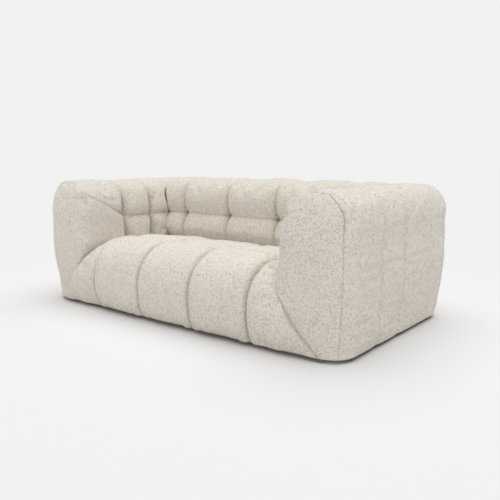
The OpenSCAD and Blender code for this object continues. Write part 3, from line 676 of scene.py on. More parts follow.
@dataclass(frozen=True)
class ClothSettling:
    """Short cloth simulation that lets a cover settle over its filling.

    Every STEP-th point of the outer grid is a vertex of a temporary sheet, cut a little larger than
    the padding and blown up from inside. Its seams are pinned and the rest is held by weak springs,
    so that the sheet swells between the seams and puckers beside them.
    """

    frames: int = 22
    pressure: float = 0.8
    slack: float = 0.035
    reach: float = 0.008
    mass: float = 0.25
    stiffness: float = 12.0
    bending: float = 0.4
    quality: int = 5
    air_damping: float = 4.0
    hold_steps: float = 20.0

    def sheet(self, name: str, points: Array, held: Array, wraps: bool) -> Thing:
        """Temporary sheet over a grid, with its held points in the pin group.

        Args:
            name: name of the piece it is for.
            points: grid of shape (rows, columns, 3).
            held: weight of each point in the pin group, rounded to even steps.
            wraps: whether the last column is next to the first.

        Returns:
            The sheet.
        """
        rows, columns = points.shape[:2]
        row, column = np.mgrid[0 : rows - 1, 0 : columns if wraps else columns - 1]
        quads = np.stack([(row + r) * columns + (column + c) % columns for r, c in CELL_CORNERS], 2)
        thing = polygon_object(f"{name}_sheet", points.reshape(-1, 3), [quads.reshape(-1, 4)])
        group = thing.vertex_groups.new(name="held")
        steps = np.round(held.ravel() * self.hold_steps).astype(int)
        for step in np.unique(steps):
            group.add(np.nonzero(steps == step)[0].tolist(), step / self.hold_steps, "REPLACE")
        return thing

    def simulate(self, thing: Thing) -> Array:
        """Run the simulation on a sheet.

        Args:
            thing: sheet whose pin group is called held.

        Returns:
            Places of its vertices after the last frame, shape (n, 3).
        """
        cloth = thing.modifiers.new("settle", "CLOTH")
        settings = cloth.settings
        settings.quality = self.quality
        settings.mass = self.mass
        settings.air_damping = self.air_damping
        settings.tension_stiffness = settings.compression_stiffness = self.stiffness
        settings.shear_stiffness = self.stiffness / 2.0
        settings.bending_stiffness = self.bending
        settings.vertex_group_mass = "held"
        settings.use_pressure = True
        settings.uniform_pressure_force = self.pressure
        settings.shrink_min = -self.slack
        settings.effector_weights.gravity = 0.0
        cloth.collision_settings.use_collision = False
        cloth.point_cache.frame_start, cloth.point_cache.frame_end = 1, self.frames
        for number in range(1, self.frames + 1):
            bpy.context.scene.frame_set(number)
        settled = thing.evaluated_get(bpy.context.evaluated_depsgraph_get()).data
        places = np.empty(len(settled.vertices) * 3, np.float32)
        settled.vertices.foreach_get("co", places)
        return places.reshape(-1, 3).astype(float)

    def offsets(self, name: str, outer: Array, held: Array, wraps: bool = False) -> Array:
        """How far each point of a grid moves as its cloth settles.

        Args:
            name: name for the temporary sheet.
            outer: grid of shape (rows, columns, 3).
            held: 1 where the cloth is sewn down, less where it is free.
            wraps: whether the last column is next to the first.

        Returns:
            Moves of the same shape, d / sqrt(1 + (d/reach)^2) of the sheet's own move d.
        """
        points = outer[::STEP, ::STEP]
        thing = self.sheet(name, points, held[::STEP, ::STEP], wraps)
        moved = self.simulate(thing).reshape(points.shape) - points
        mesh = thing.data
        bpy.data.objects.remove(thing)
        bpy.data.meshes.remove(mesh)
        bpy.context.scene.frame_set(1)
        far = np.linalg.norm(moved, axis=2, keepdims=True)
        log.info("%s: cloth moved %.1f mm at most", name, 1e3 * far.max())
        moved /= np.sqrt(1.0 + (far / self.reach) ** 2)
        return self.spread(moved, outer.shape, wraps)

    def spread(self, moved: Array, shape: tuple[int, ...], wraps: bool) -> Array:
        """Moves of the sheet's points taken to the fine grid by smooth steps along both ways.

        Args:
            moved: moves of the sheet's points, shape (rows, columns, 3).
            shape: shape of the fine grid.
            wraps: whether the last column is next to the first.

        Returns:
            Moves of the fine grid's shape.
        """
        if wraps:
            moved = np.concatenate([moved, moved[:, :1]], axis=1)
        row, column = np.arange(shape[0]) / STEP, np.arange(shape[1]) / STEP
        top = np.minimum(row.astype(int), moved.shape[0] - 2)
        left = np.minimum(column.astype(int), moved.shape[1] - 2)
        across = smooth(column - left)[None, :, None]
        upper, lower = [mix(moved[r][:, left], moved[r][:, left + 1], across) for r in (top, top + 1)]
        return mix(upper, lower, smooth(row - top)[:, None, None])


@dataclass
class PaddedCover:
    """Common ground of the covers: sizes, finish and the fine relief of hand-filled padding."""

    form: SofaForm
    cloth: "BoucleCloth"
    seed: int
    fill: float = 0.85
    nub: float = 0.0006
    nub_cell: float = 0.002
    nub_at_seam: float = 0.25
    edge_w: float = 0.052
    tuft_w: float = 0.030
    tuft_reach: float = 0.050
    pinch: float = 0.008
    pinch_r: float = 0.026
    pucker: float = 0.0016
    pucker_r: float = 0.030
    pucker_folds: float = 7.0
    press_on: float = 0.020
    settling: ClothSettling = ClothSettling()

    def relief(self, points: Array, rise: Array) -> Array:
        """Unevenness of the padding plus the cloth's nubs, both least at the seams.

        The nubs are lower where the grid is finer than 2 mm, so that they never fold over.

        Args:
            points: grid of shape (rows, columns, 3).
            rise: share of the padding's height at each point, from 0 to 1.

        Returns:
            Heights of shape (rows, columns).
        """
        draw = np.random.default_rng(self.seed)
        across = np.linalg.norm(np.roll(points, -1, axis=1) - points, axis=2)
        along = np.linalg.norm(np.gradient(points, axis=0), axis=2)
        grain = unit(np.minimum(across, along) / self.nub_cell)
        nubs = self.nub * grain * np.clip(draw.normal(size=rise.shape), -2.0, 2.0)
        return Unevenness(self.seed).at(points) * rise + nubs * mix(self.nub_at_seam, 1.0, rise)

    def puckers(self, away: Array, aside: Array, along: Array) -> Array:
        """Short radial folds round a tuft: a cosine of the angle times (d/r) exp(1 - d/r).

        Args:
            away: distance from the tuft.
            aside: distance across the sofa.
            along: distance along the section.

        Returns:
            Height to add.
        """
        angle = np.arctan2(along, aside)
        ring = (away / self.pucker_r) * np.exp(1.0 - away / self.pucker_r)
        return self.pucker * ring * np.cos(self.pucker_folds * angle + self.seed)

    def finish(self, piece: Thing, node: str) -> Thing:
        """Give a piece its cloth and body, and hide the node that it stands for.

        Args:
            piece: the padding, at the origin.
            node: name of the node that it stands for.

        Returns:
            The piece.
        """
        piece.data.materials.append(self.cloth.material())
        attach(piece, "root")
        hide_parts(node)
        log.info("%s: %d faces", piece.name, len(piece.data.polygons))
        return piece


@dataclass
class ChannelledCover(PaddedCover):
    """Cover whose channels run along a section line, side by side across X."""

    cells_across: tuple[int, ...] = ()
    end_thick: float = 0.0
    end_reach: float = 0.060
    hold: float = 0.15
    cross_w: float = 0.080
    cross_soft: float = 0.34
    cross_sharp: float = 0.10
    cross_sharp_w: float = 0.030
    crease_d: float = 0.006
    crease_w: float = 0.016
    # Strength of the painted shade in the seams, and the width of its darkest line at the sewn seam
    painted_shade_depth: float = 0.85
    painted_shade_w: float = 0.008

    def columns(self, edge: Array) -> tuple[Array, Array, Array]:
        """Places across the sofa.

        Args:
            edge: half width of the cover at each row, shape (rows, 1).

        Returns:
            X, the distance to the nearest seam, and the share across the channel from 0 to 1.
        """
        seams = [-edge, *(np.full_like(edge, k * self.form.channel_w) for k in INNER_SEAMS), edge]
        x, near, share = [], [], []
        for cells, left, right in zip(self.cells_across, seams, seams[1:]):
            across = np.linspace(0.0, 1.0, cells + 1)
            if right is not edge:
                across = across[:-1]
            width = right - left
            x.append(left + width * across)
            near.append(width * np.minimum(across, 1.0 - across))
            share.append(np.broadcast_to(across, x[-1].shape))
        return tuple(np.concatenate(runs, axis=1) for runs in (x, near, share))

    def from_cross(self, rows: Array, cross: int) -> Array:
        """Length along the section from the cross seam's row, shape (rows, 1)."""
        along = length_along(rows)
        return (along - along[cross])[:, None]

    def dip(self, from_cross: Array) -> Array:
        """Share of the channels' height that the cross seam leaves."""
        soft = self.cross_soft * crease(from_cross, self.cross_w)
        return 1.0 - soft - self.cross_sharp * cusp(from_cross, self.cross_sharp_w)

    def painted_shade_share(self, near: Array, soft: Array) -> Array:
        """Share of painted shade in the seams' hollows: the soft part, and 1 at the sewn seam itself."""
        return self.painted_shade_depth * unit(soft + 0.75 * (1.0 - unit(near / self.painted_shade_w)))

    def tufts(self, x: Array, along: Array) -> tuple[Array, Array]:
        """Pinch at the four points where the channel seams cross the cross seam.

        Args:
            x: places across the sofa.
            along: distance from the cross seam, measured along the section.

        Returns:
            Height to add, and the nearness to a tuft from 0 to 1.
        """
        height, near = np.zeros_like(x), np.zeros_like(x)
        for k in INNER_SEAMS:
            aside = x - k * self.form.channel_w
            away = np.hypot(aside, along)
            hill = bump(away**2, self.pinch_r)
            height += self.puckers(away, aside, along) - self.pinch * hill
            near = np.maximum(near, hill)
        return height, near

    def piece(self, name: str, rows: Array, x: Array, lift: Array, rise: Array, painted_shade: Array) -> Thing:
        """Finished padding over a section line, which stands for the node called name_cover.

        The inner side lies one thickness of cloth and wadding below the seam line, more at both ends.

        Args:
            name: the sub-assembly's name.
            rows: rows of (y, z, more values).
            x: places across, shape (rows, columns).
            lift: padding height over the seam line.
            rise: share of the padding's height, from 0 to 1.
            painted_shade: share of painted shade in the seams' hollows, from 0 to 1.

        Returns:
            The piece.
        """
        base = np.stack(np.broadcast_arrays(x, rows[:, :1], rows[:, 1:2]), axis=2)
        normal = normals_of(base)
        outer = base + normal * lift[:, :, None]
        outer += self.settling.offsets(name, outer, self.held(rise))
        outer += normals_of(outer) * self.relief(outer, rise)[:, :, None]
        from_end = np.minimum(x - x[:, :1], x[:, -1:] - x)
        thick = self.form.skin_t + self.end_thick * (1.0 - unit(from_end / self.end_reach))
        inner = (base - normal * thick[:, :, None])[::STEP, ::STEP]
        skin = Skin(outer, inner, painted_shade)
        return self.finish(skin.mesh(f"{name}_padding", np.ones(skin.cells, bool)), f"{name}_cover")

    def held(self, rise: Array) -> Array:
        """How firmly the cloth is held: 1 at the seams and the grid's edges, little on the pads."""
        held = mix(1.0, self.hold, smooth((rise - 0.15) / 0.55))
        edge = 2 * STEP + 1
        held[:edge], held[-edge:], held[:, :edge], held[:, -edge:] = 1.0, 1.0, 1.0, 1.0
        return held


@dataclass
class SeatCover(ChannelledCover):
    """Seat padding: five channels from the floor over the front roll to the back, cross seamed."""

    cells_across: tuple[int, ...] = (44, 64, 64, 64, 44)
    end_thick: float = 0.030
    end_flat: float = 0.35
    end_slump: float = 0.026
    slump_d: float = 0.125
    slump_reach: float = 0.110
    slump_ease_h: float = 0.080
    press: float = 0.008
    rear_d: float = 0.018
    rear_ease: float = 0.110
    rear_loss: float = 0.32
    rear_crown: float = 0.3
    under_lap: float = 0.004
    arch: float = 0.12
    crease_crown: float = 0.015

    def front_parts(self) -> list[tuple[Array, int]]:
        """Lower part of the section line, which ends where the roll meets the top.

        Returns:
            Lines of (y, z, crown) with their cells: under the hem, round its corner, up the belly and
            over the roll. Crown is the padding's height.
        """
        form = self.form
        start_y = form.front_y + form.belly_lift
        turn = np.radians(np.linspace(90.0, 0.0, 13))
        turn_y, turn_z = form.hem_corner(start_y + form.hem_tuck, 1.0, turn)
        corner = np.stack([turn_y, turn_z, np.linspace(0.0, form.hem_lift, len(turn))], 1)
        under_y = form.rail_front_y - self.under_lap
        under = np.array([[under_y, form.base_z, 0.0], [turn_y[0], form.base_z, 0.0]])
        z = np.linspace(form.base_z + form.hem_turn, form.belly_z, 40)
        below = ((form.belly_z - z) / (form.belly_z - form.base_z)) ** 2
        lift = mix(form.belly_lift, form.hem_lift, below)
        belly = np.stack([start_y + form.hem_tuck * below, z, lift], 1)
        angle = np.radians(np.linspace(0.0, 90.0, 91))
        across, up = superellipse(angle)
        roll_y = start_y + form.seat_roll_d * (1.0 - across)
        roll_z = form.belly_z + (form.seam_z - form.belly_z) * up
        roll = np.stack([roll_y, roll_z, mix(form.belly_lift, form.seat_crown, np.sin(angle))], 1)
        return [(under, 12), (corner, 4), (belly, 28), (roll, 72)]

    def top_parts(self) -> list[tuple[Array, int]]:
        """Upper part of the section line.

        Returns:
            Lines of (y, z, crown) with their cells: to the cross seam, on to the back, and down
            between back and seat.
        """
        form = self.form
        start_y = form.front_y + form.belly_lift + form.seat_roll_d
        y = np.linspace(start_y, form.seat_back_y - self.rear_d, 120)
        ahead = smooth((form.seat_back_y - y) / self.rear_ease)
        crown = form.seat_crown * mix(self.rear_crown, 1.0, ahead)
        to_back = unit((y - form.seat_tuft_y) / (form.seat_back_y - form.seat_tuft_y))
        crown *= 1.0 - self.rear_loss * to_back
        top = np.stack([y, form.fall(y), crown], 1)
        middle = np.array([[form.seat_tuft_y, form.seam_z, form.seat_crown]])
        before = np.concatenate([top[y <= form.seat_tuft_y], middle])
        behind = np.concatenate([middle, top[y >= form.seat_tuft_y]])
        # Steps in from the back's plane, steps down from the seam, and heights of the padding
        drops = ((0.006, 0.004, 0.009), (0.0, 0.016, 0.003), (0.0, 0.075, 0.0))
        rear_y, rear_z = form.seat_back_y - form.gap, form.seat_rear_z
        rear = np.array([behind[-1], *([rear_y - d, rear_z - h, lift] for d, h, lift in drops)])
        return [(before, 4), (behind, 84), (rear, 16)]

    def build(self) -> Thing:
        """The seat piece."""
        form = self.form
        front, top = self.front_parts(), self.top_parts()
        rows = chain(front + top)
        cross = sum(cells for _, cells in front) + top[0][1]
        y, z, crown = rows[:, :1], rows[:, 1:2], rows[:, 2:]
        edge = form.inner_x(np.minimum(z, form.seam_z)) + self.press
        x, near, share = self.columns(edge)
        from_cross = self.from_cross(rows, cross)
        width = self.edge_w + self.tuft_w * bump(from_cross**2, self.tuft_reach)
        rise = mix(rounded(near, width), 1.0 - (2.0 * share - 1.0) ** 2, self.arch)
        dip = self.dip(from_cross)
        tuft, close = self.tufts(x, from_cross)
        last_seam = INNER_SEAMS[-1] * form.channel_w
        outward = unit((np.abs(x) - last_seam) / (edge - last_seam))
        ahead = bump((y - form.front_y - self.slump_d) ** 2, self.slump_reach)
        fall = ahead * smooth((z - form.belly_z) / self.slump_ease_h)
        slump = self.end_slump * smooth(outward) * fall
        lift = crown * rise * dip * (1.0 - self.end_flat * (outward > 0.0))
        lift += tuft * unit(crown / form.seat_crown) - slump
        lift -= self.crease_d * cusp(near, self.crease_w) * unit(crown / self.crease_crown)
        # Painted shade beside the seams, round the tufts and along the cross seam
        soft_shade = 0.5 * (1.0 - rise) ** 1.5 + 0.5 * close
        painted_shade = self.painted_shade_share(near, soft_shade + 0.25 * cusp(from_cross, self.cross_sharp_w))
        soft = rise * dip * unit(crown / form.hem_lift)
        return self.piece("seat", rows, x, lift, soft, painted_shade)


@dataclass
class BackCover(ChannelledCover):
    """Back padding: five channels up the front, over the top and down behind, cross seamed."""

    cells_across: tuple[int, ...] = (36, 64, 64, 64, 36)
    cross_soft: float = 0.30
    cross_sharp: float = 0.14
    cross_sharp_w: float = 0.045
    # Width of the painted shade along the cross seam
    cross_shade_w: float = 0.035
    crease_d: float = 0.003
    crease_crown: float = 0.010
    painted_shade_depth: float = 0.5
    over_start: float = 0.070
    below_seat: float = 0.058
    rear_edge_w: float = 0.040
    rear_arch: float = 0.45
    # Share of the painted shade that is left behind the back
    tuft_arch: float = 0.15
    rear_shade: float = 0.4
    under_lap: float = 0.001
    soft_crown: float = 0.008

    def front(self, z: Array) -> Array:
        """Front face of the back, whose crown eases to the rear's over the top.

        Args:
            z: heights.

        Returns:
            Rows of (y, z, crown, front).
        """
        form = self.form
        height = form.top_seam_z - form.tuft_z - self.over_start
        over = smooth((z - form.tuft_z - self.over_start) / height)
        crown = mix(form.back_depth(z), form.rear_crown, over)
        return np.stack([form.lean(z), z, crown, 1.0 - over], 1)

    def section(self) -> tuple[Array, int]:
        """Section line from behind the seat to the rear hem.

        Returns:
            Rows of (y, z, crown, front) and the cross seam's row. Crown is the padding's height, and
            front is 1 where the row faces forwards and 0 from the top on.
        """
        form = self.form
        low = self.front(np.linspace(form.seat_rear_z - self.below_seat, form.seat_rear_z, 10))
        middle = self.front(np.linspace(form.seat_rear_z, form.tuft_z, 60))
        share = np.sin(np.radians(np.linspace(0.0, 90.0, 120)))
        high = self.front(mix(form.tuft_z, form.top_seam_z, share))
        crown, top_z = form.rear_crown, form.top_seam_z
        top_y, roll_y = form.seat_back_y + form.back_top_d, form.rear_seam_y - form.outer_roll_w
        top = np.array([[top_y, top_z, crown, 0.0], [roll_y, top_z, crown, 0.0]])
        across, up = superellipse(np.radians(np.linspace(90.0, 0.0, 91)))
        y = form.rear_seam_y - form.outer_roll_w * (1.0 - across)
        z = top_z - form.outer_roll_h * (1.0 - up)
        roll = np.stack([y, z, np.full_like(y, crown), np.zeros_like(y)], 1)
        z = np.linspace(top_z - form.outer_roll_h, form.base_z + form.hem_turn, 90)
        rear = np.stack([form.rear_seam_y - form.hem(z), z, crown * form.hem_fade(z), 0.0 * z], 1)
        turn = np.radians(np.linspace(0.0, 90.0, 13))
        y, z = form.hem_corner(rear[-1, 0], -1.0, turn)
        corner = np.stack([y, z, rear[-1, 2] * (1.0 - np.sin(turn)), 0.0 * turn], 1)
        under_y = form.frame_rear_y + self.under_lap
        under = np.array([corner[-1], [under_y, form.base_z, 0.0, 0.0]])
        front = [(low, 8), (middle, 32)]
        parts = front + [(high, 48), (top, 40), (roll, 40), (rear, 96), (corner, 4), (under, 4)]
        return chain(parts), sum(cells for _, cells in front)

    def build(self) -> Thing:
        """The back piece."""
        form = self.form
        rows, cross = self.section()
        z, crown, front = rows[:, 1:2], rows[:, 2:3], rows[:, 3:]
        x, near, share = self.columns(np.full_like(z, form.half_w - form.gap))
        from_cross = self.from_cross(rows, cross)
        at_tuft = bump(from_cross**2, self.tuft_reach)
        width = mix(self.rear_edge_w, self.edge_w, front) + self.tuft_w * at_tuft
        end_middle = 0.5 * (INNER_SEAMS[-1] * form.channel_w + form.half_w)
        pressed = near + self.press_on * front * (np.abs(x) > end_middle)
        arch = 1.0 - (2.0 * share - 1.0) ** 2
        rise = mix(rounded(pressed, width), arch, mix(self.rear_arch, self.tuft_arch, at_tuft))
        dip = self.dip(from_cross)
        tuft, close = self.tufts(x, from_cross)
        sewn = self.crease_d * cusp(near, self.crease_w) * unit(crown / self.crease_crown)
        lift = crown * rise * dip + tuft - sewn
        corner_w = form.corner_width(z)
        depth = np.maximum(crown * dip, 1e-6)
        room = (form.half_w - np.abs(x)) * depth / np.maximum(corner_w, 1e-4)
        limited = (front > 0.02) & (corner_w > 0.002)
        lift = np.where(limited, np.minimum(lift, room), lift)
        # Painted shade beside the seams, round the tufts and along the cross seam, less behind the back
        soft_shade = 0.5 * (1.0 - rise) ** 1.5 * mix(self.rear_shade, 1.0, front)
        soft_shade = soft_shade + 0.5 * close + 0.4 * cusp(from_cross, self.cross_shade_w)
        soft = rise * dip * unit(crown / self.soft_crown)
        return self.piece("back", rows, x, lift, soft, self.painted_shade_share(pressed, soft_shade))


class Side(Enum):
    """Which arm a piece belongs to."""

    LEFT = "left"
    RIGHT = "right"


@dataclass
class ArmCovers(PaddedCover):
    """Cover and front panel of one arm, both cut from one upright stack of rings.

    The stack is drawn as the right arm. Each ring runs anticlockwise from the panel's outer seam
    along the outer side, round the rear and back along the inner face, and ends with the panel.
    """

    side: Side = Side.RIGHT
    under_front: float = 0.088
    under_side: float = 0.010
    rows_under: int = 9
    turned_under: tuple[float, ...] = (20.0, 45.0, 67.0)
    drawn_in: tuple[float, ...] = (0.12, 0.25, 0.38, 0.50, 0.62, 0.73, 0.83, 0.92, 0.985)
    spine_end: float = 0.030
    wall_spread: float = 0.016
    wall_spread_h: float = 0.022
    wall_corner: float = 0.010
    wall_end: float = 0.016
    wall_ease: float = 0.080
    wall_gap: float = 0.010
    wider: float = 0.008
    arch: float = 0.40
    arch_reach: float = 0.070
    opening: float = 0.100
    panel_sunk: float = 0.25
    sunk_at_top: float = 0.2
    sunk_lead: float = 0.080
    sunk_ease_h: float = 0.045
    cover_rise_w: float = 0.035
    panel_rise_w: float = 0.055
    seam_d: float = 0.0035
    seam_w: float = 0.011
    seam_low: float = 0.35
    seam_ease_h: float = 0.080
    # Painted shade along the front panel's seams, and its strength in the inner channels' seams
    seam_shade: float = 0.6
    painted_shade_depth: float = 0.45

    @property
    def below(self) -> int:
        """Number of rings under the hem."""
        return self.rows_under + len(self.turned_under)

    def levels(self) -> Array:
        """Heights of the rings: even steps up the sides, then even turns over the roll."""
        form = self.form
        roll_start = form.height - form.outer_roll_h
        low = np.linspace(form.base_z + form.hem_turn, form.seam_z, 68)
        high = np.linspace(form.seam_z, roll_start, 37)[1:]
        turn = np.radians(np.linspace(0.0, 90.0, 41))[1:]
        return np.concatenate([low, high, roll_start + form.outer_roll_h * superellipse(turn)[1]])

    def arc(
        self, centre_x: Array, centre_y: Array, radius: Array, start: Array, end: Array, cells: int
    ) -> Array:
        """Arc of a plan corner, without its last point: centre plus radius at even angles."""
        angle = mix(start, end, np.arange(cells)[None, :] / cells)
        return np.stack([centre_x + radius * np.cos(angle), centre_y + radius * np.sin(angle)], 2)

    def straight(self, start_x: Array, start_y: Array, end_x: Array, end_y: Array, cells: int) -> Array:
        """Straight run between two points of each ring, without its last point."""
        share = np.arange(cells)[None, :] / cells
        return np.stack(np.broadcast_arrays(mix(start_x, end_x, share), mix(start_y, end_y, share)), 2)

    def rings(self, z: Array) -> tuple[Array, Spans]:
        """Plan points of the rings on the channels' crest.

        Args:
            z: heights, shape (rows, 1).

        Returns:
            Points of shape (rows, columns, 2) and the columns of each run by name.
        """
        form = self.form
        outer, inner, front, rear = form.outer_x(z), form.inner_x(z), form.arm_front(z), form.arm_rear(z)
        outer_r, rear_r, inner_r = form.front_corner(z), form.rear_corner(z), form.inner_corner(z)
        seam_1, seam_2, lean, panel = form.seam_1_y, form.seam_2_y, form.lean(z), form.panel_y(z)
        spread = roll_in((z - form.height + self.wall_spread_h) / self.wall_spread_h)
        wall = form.half_w + self.wall_spread * spread
        rear_wall, rear_start, lean_end = wall + self.wall_corner, rear - rear_r, lean + self.wall_end
        split, arc, straight = form.split_angle(z), self.arc, self.straight
        runs = [
            ("corner", arc(outer - outer_r, front + outer_r, outer_r, split, 0.0, 20)),
            ("side", straight(outer, front + outer_r, outer, seam_1, 40)),
            ("side", straight(outer, seam_1, outer, seam_2, 44)),
            ("side", straight(outer, seam_2, outer, rear_start, 84)),
            ("rear", arc(outer - rear_r, rear_start, rear_r, 0.0, QUARTER, 40)),
            ("rear", straight(outer - rear_r, rear, rear_wall, rear, 24)),
            ("wall", straight(rear_wall, rear, wall, rear - self.wall_corner, 4)),
            ("wall", straight(wall, rear - self.wall_corner, wall, lean_end, 44)),
            ("wall", straight(wall, lean_end, wall, lean, 4)),
            ("inner_2", straight(inner, lean, inner, seam_2, 36)),
            ("inner_1", straight(inner, seam_2, inner, seam_1, 44)),
            ("inner_0", straight(inner, seam_1, inner, panel, 40)),
            ("panel", straight(inner, panel, inner, front + inner_r, 40)),
            ("panel", arc(inner + inner_r, front + inner_r, inner_r, 2 * QUARTER, 3 * QUARTER, 28)),
            ("panel", straight(inner + inner_r, front, outer - outer_r, front, 28)),
            ("panel", arc(outer - outer_r, front + outer_r, outer_r, -QUARTER, split, 20)),
        ]
        spans: Spans = {}
        start = 0
        for name, run in runs:
            end = start + run.shape[1]
            spans[name] = slice(spans[name].start if name in spans else start, end)
            start = end
        return np.concatenate([run for _, run in runs], axis=1), spans

    def padding(self, y: Array, z: Array, spans: Spans) -> Array:
        """Share of the inner channels' height at each ring point.

        The share rises from each seam as rounded() says. Along the front panel's seam it is 1 less
        the panel's sink, which eases off near the top, and the cross seam takes its part of it.

        Args:
            y: places of the ring points, shape (rows, columns).
            z: heights, shape (rows, 1).
            spans: columns of each run.

        Returns:
            Shares of shape (rows, columns), 1 on the crest.
        """
        form = self.form
        share = np.ones_like(y)
        lean, panel_y = form.lean(z), form.panel_y(z)
        from_row = (z - form.tuft_z) ** 2
        width = self.edge_w + self.wider + self.tuft_w * bump(from_row, self.tuft_reach)
        arch = self.arch * (1.0 - bump(from_row, self.arch_reach))
        for name, low, high, pressed in (
            ("inner_2", form.seam_2_y, lean, self.press_on),
            ("inner_1", form.seam_1_y, form.seam_2_y, 0.0),
        ):
            place = y[:, spans[name]]
            near = np.minimum(place - low, high - place + pressed)
            along = unit((place - low) / (high - low + pressed))
            share[:, spans[name]] = mix(rounded(near, width), 4.0 * along * (1.0 - along), arch)
        near_top = unit((z - form.panel_top + self.sunk_lead) / self.sunk_ease_h)
        sunk = self.panel_sunk * mix(1.0, self.sunk_at_top, near_top)
        place = y[:, spans["inner_0"]]
        from_seam, from_panel = form.seam_1_y - place, place - panel_y
        beside = 1.0 - sunk * (1.0 - rounded(from_panel, self.cover_rise_w))
        opened = unit((form.seam_1_y - panel_y) / self.opening)
        beside = mix((1.0 - sunk) * unit(from_seam / form.panel_lead), beside, opened)
        share[:, spans["inner_0"]] = np.minimum(beside, rounded(from_seam, width) + 1e-3)
        place = y[:, spans["panel"]]
        on_face = place > form.arm_front(z) + 1e-6
        inward = 1.0 - sunk * (1.0 - rounded(np.abs(panel_y - place), self.panel_rise_w))
        share[:, spans["panel"]] = np.where(on_face, inward, 1.0)
        share[:, : spans["panel"].start] *= form.tuft_row(z)
        return share

    def corner_limit(self, y: Array, z: Array) -> Array:
        """Least X of an arm's padding beside the back, where both covers meet on a slant.

        Args:
            y: places of the ring points, shape (rows, columns).
            z: heights, shape (rows, 1).

        Returns:
            Half width less the corner's width times (lean - y) / height of the back's padding, at
            most the half width.
        """
        form = self.form
        back = np.maximum(form.back_depth(z) * form.tuft_row(z), 1e-6)
        limit = form.half_w - form.corner_width(z) * (form.lean(z) - y) / back
        return np.minimum(limit, form.half_w)

    def surface(self) -> tuple[Array, Array, Array, Array, Array, Spans]:
        """Surface of the arm between the hem and the top.

        Returns:
            Outer points and crest points of shape (rows, columns, 3), the drop of the inner skin from
            the crest, the rise and the share of painted shade of shape (rows, columns), and the columns of
            each run.
        """
        form = self.form
        z = self.levels()[:, None]
        plan, spans = self.rings(z)
        x, y = plan[:, :, 0].copy(), plan[:, :, 1].copy()
        up = np.broadcast_to(z, x.shape).copy()
        crest = np.stack([x, y, up], 2)
        share = self.padding(y, z, spans)
        columns = np.arange(x.shape[1])[None, :]
        start = spans["inner_2"].start
        inner = (columns >= start) & (columns < spans["inner_0"].stop)
        panel = columns >= spans["panel"].start
        face = inner | (panel & (x < form.inner_x(z) + form.inner_corner(z)))
        depth = np.where(face, form.arm_depth(z) * (1.0 - share), 0.0)
        turn = form.turn_up(form.inner_x, z)
        x += depth * np.cos(turn)
        up -= depth * np.sin(turn)
        beside_back = (columns >= start) & (columns < spans["inner_2"].stop)
        meeting = beside_back & (form.corner_width(z) > 0.002) & (z > form.seat_rear_z)
        x = np.where(meeting, np.maximum(x, self.corner_limit(y, z)), x)
        x = np.where((columns == start) & (z < form.seat_rear_z), np.maximum(x, form.half_w), x)
        outside = (columns >= spans["side"].start) & (columns < spans["side"].stop)
        grooves = sum(form.groove(y - seam) for seam in (form.seam_1_y, form.seam_2_y))
        depth = np.where(outside, form.groove_d * form.hem_fade(z) * grooves, 0.0)
        turn = -form.turn_up(form.outer_x, z)
        x -= depth * np.cos(turn)
        up -= depth * np.sin(turn)
        points = np.stack([x, y, up], 2)
        for grid in (points, crest):
            self.ease_wall(grid, z, spans)
        # Painted shade in the inner channels' seams, darker where the padding sinks further
        deep = unit(1.6 * (1.0 - share) ** 2.2) * unit(1.5 * form.arm_depth(z) / form.arm_crown)
        painted_shade = np.where(inner, self.painted_shade_depth * deep, 0.0)
        rise = np.where(inner, mix(0.2, 1.0, share), 1.0) + 0.0 * share
        drop = np.where(face, form.arm_depth(z), np.where(outside, form.groove_d, 0.0)) + form.skin_t
        return points, crest, drop, rise, painted_shade, spans

    def ease_wall(self, grid: Array, z: Array, spans: Spans) -> None:
        """Draw the wall behind the back's face towards the inner channels' first column.

        The share of the way is 1 at the back's face and eases to 0 behind it, and it is less where
        the gap between both is small.

        Args:
            grid: points of shape (rows, columns, 3), changed in place.
            z: heights, shape (rows, 1).
            spans: columns of each run.
        """
        wall, start = spans["wall"], spans["inner_2"].start
        near = smooth((self.form.lean(z) + self.wall_ease - grid[:, wall, 1]) / self.wall_ease)
        corner = grid[:, start : start + 1]
        opened = unit((corner[:, :, 0] - grid[:, wall, 0]) / self.wall_gap) * near
        grid[:, wall, ::2] = mix(grid[:, wall, ::2], corner[:, :, ::2], opened[:, :, None])

    def under_hem(self, first: Array) -> list[Array]:
        """Rings turned under the hem, which move in along the plan normal.

        They go further in at the front and rear than at the sides.

        Args:
            first: lowest ring of the surface, shape (columns, 3).

        Returns:
            Rings from the innermost one up to just below the first.
        """
        form = self.form
        tangent = np.roll(first, -1, axis=0) - np.roll(first, 1, axis=0)
        outward = np.stack([tangent[:, 1], -tangent[:, 0]], 1)
        outward /= np.maximum(np.linalg.norm(outward, axis=1, keepdims=True), 1e-9)
        reach = outward * np.array([self.under_side, self.under_front])
        turned = outward * form.hem_turn
        rings = []
        for share in np.linspace(1.0, 0.0, self.rows_under + 1)[:-1]:
            rings.append((first[:, :2] - reach * share - turned, form.base_z))
        for angle in np.radians(self.turned_under):
            height = form.base_z + form.hem_turn * (1.0 - math.cos(angle))
            rings.append((first[:, :2] - turned * (1.0 - math.sin(angle)), height))
        return [np.column_stack([plan, np.full(len(first), height)]) for plan, height in rings]

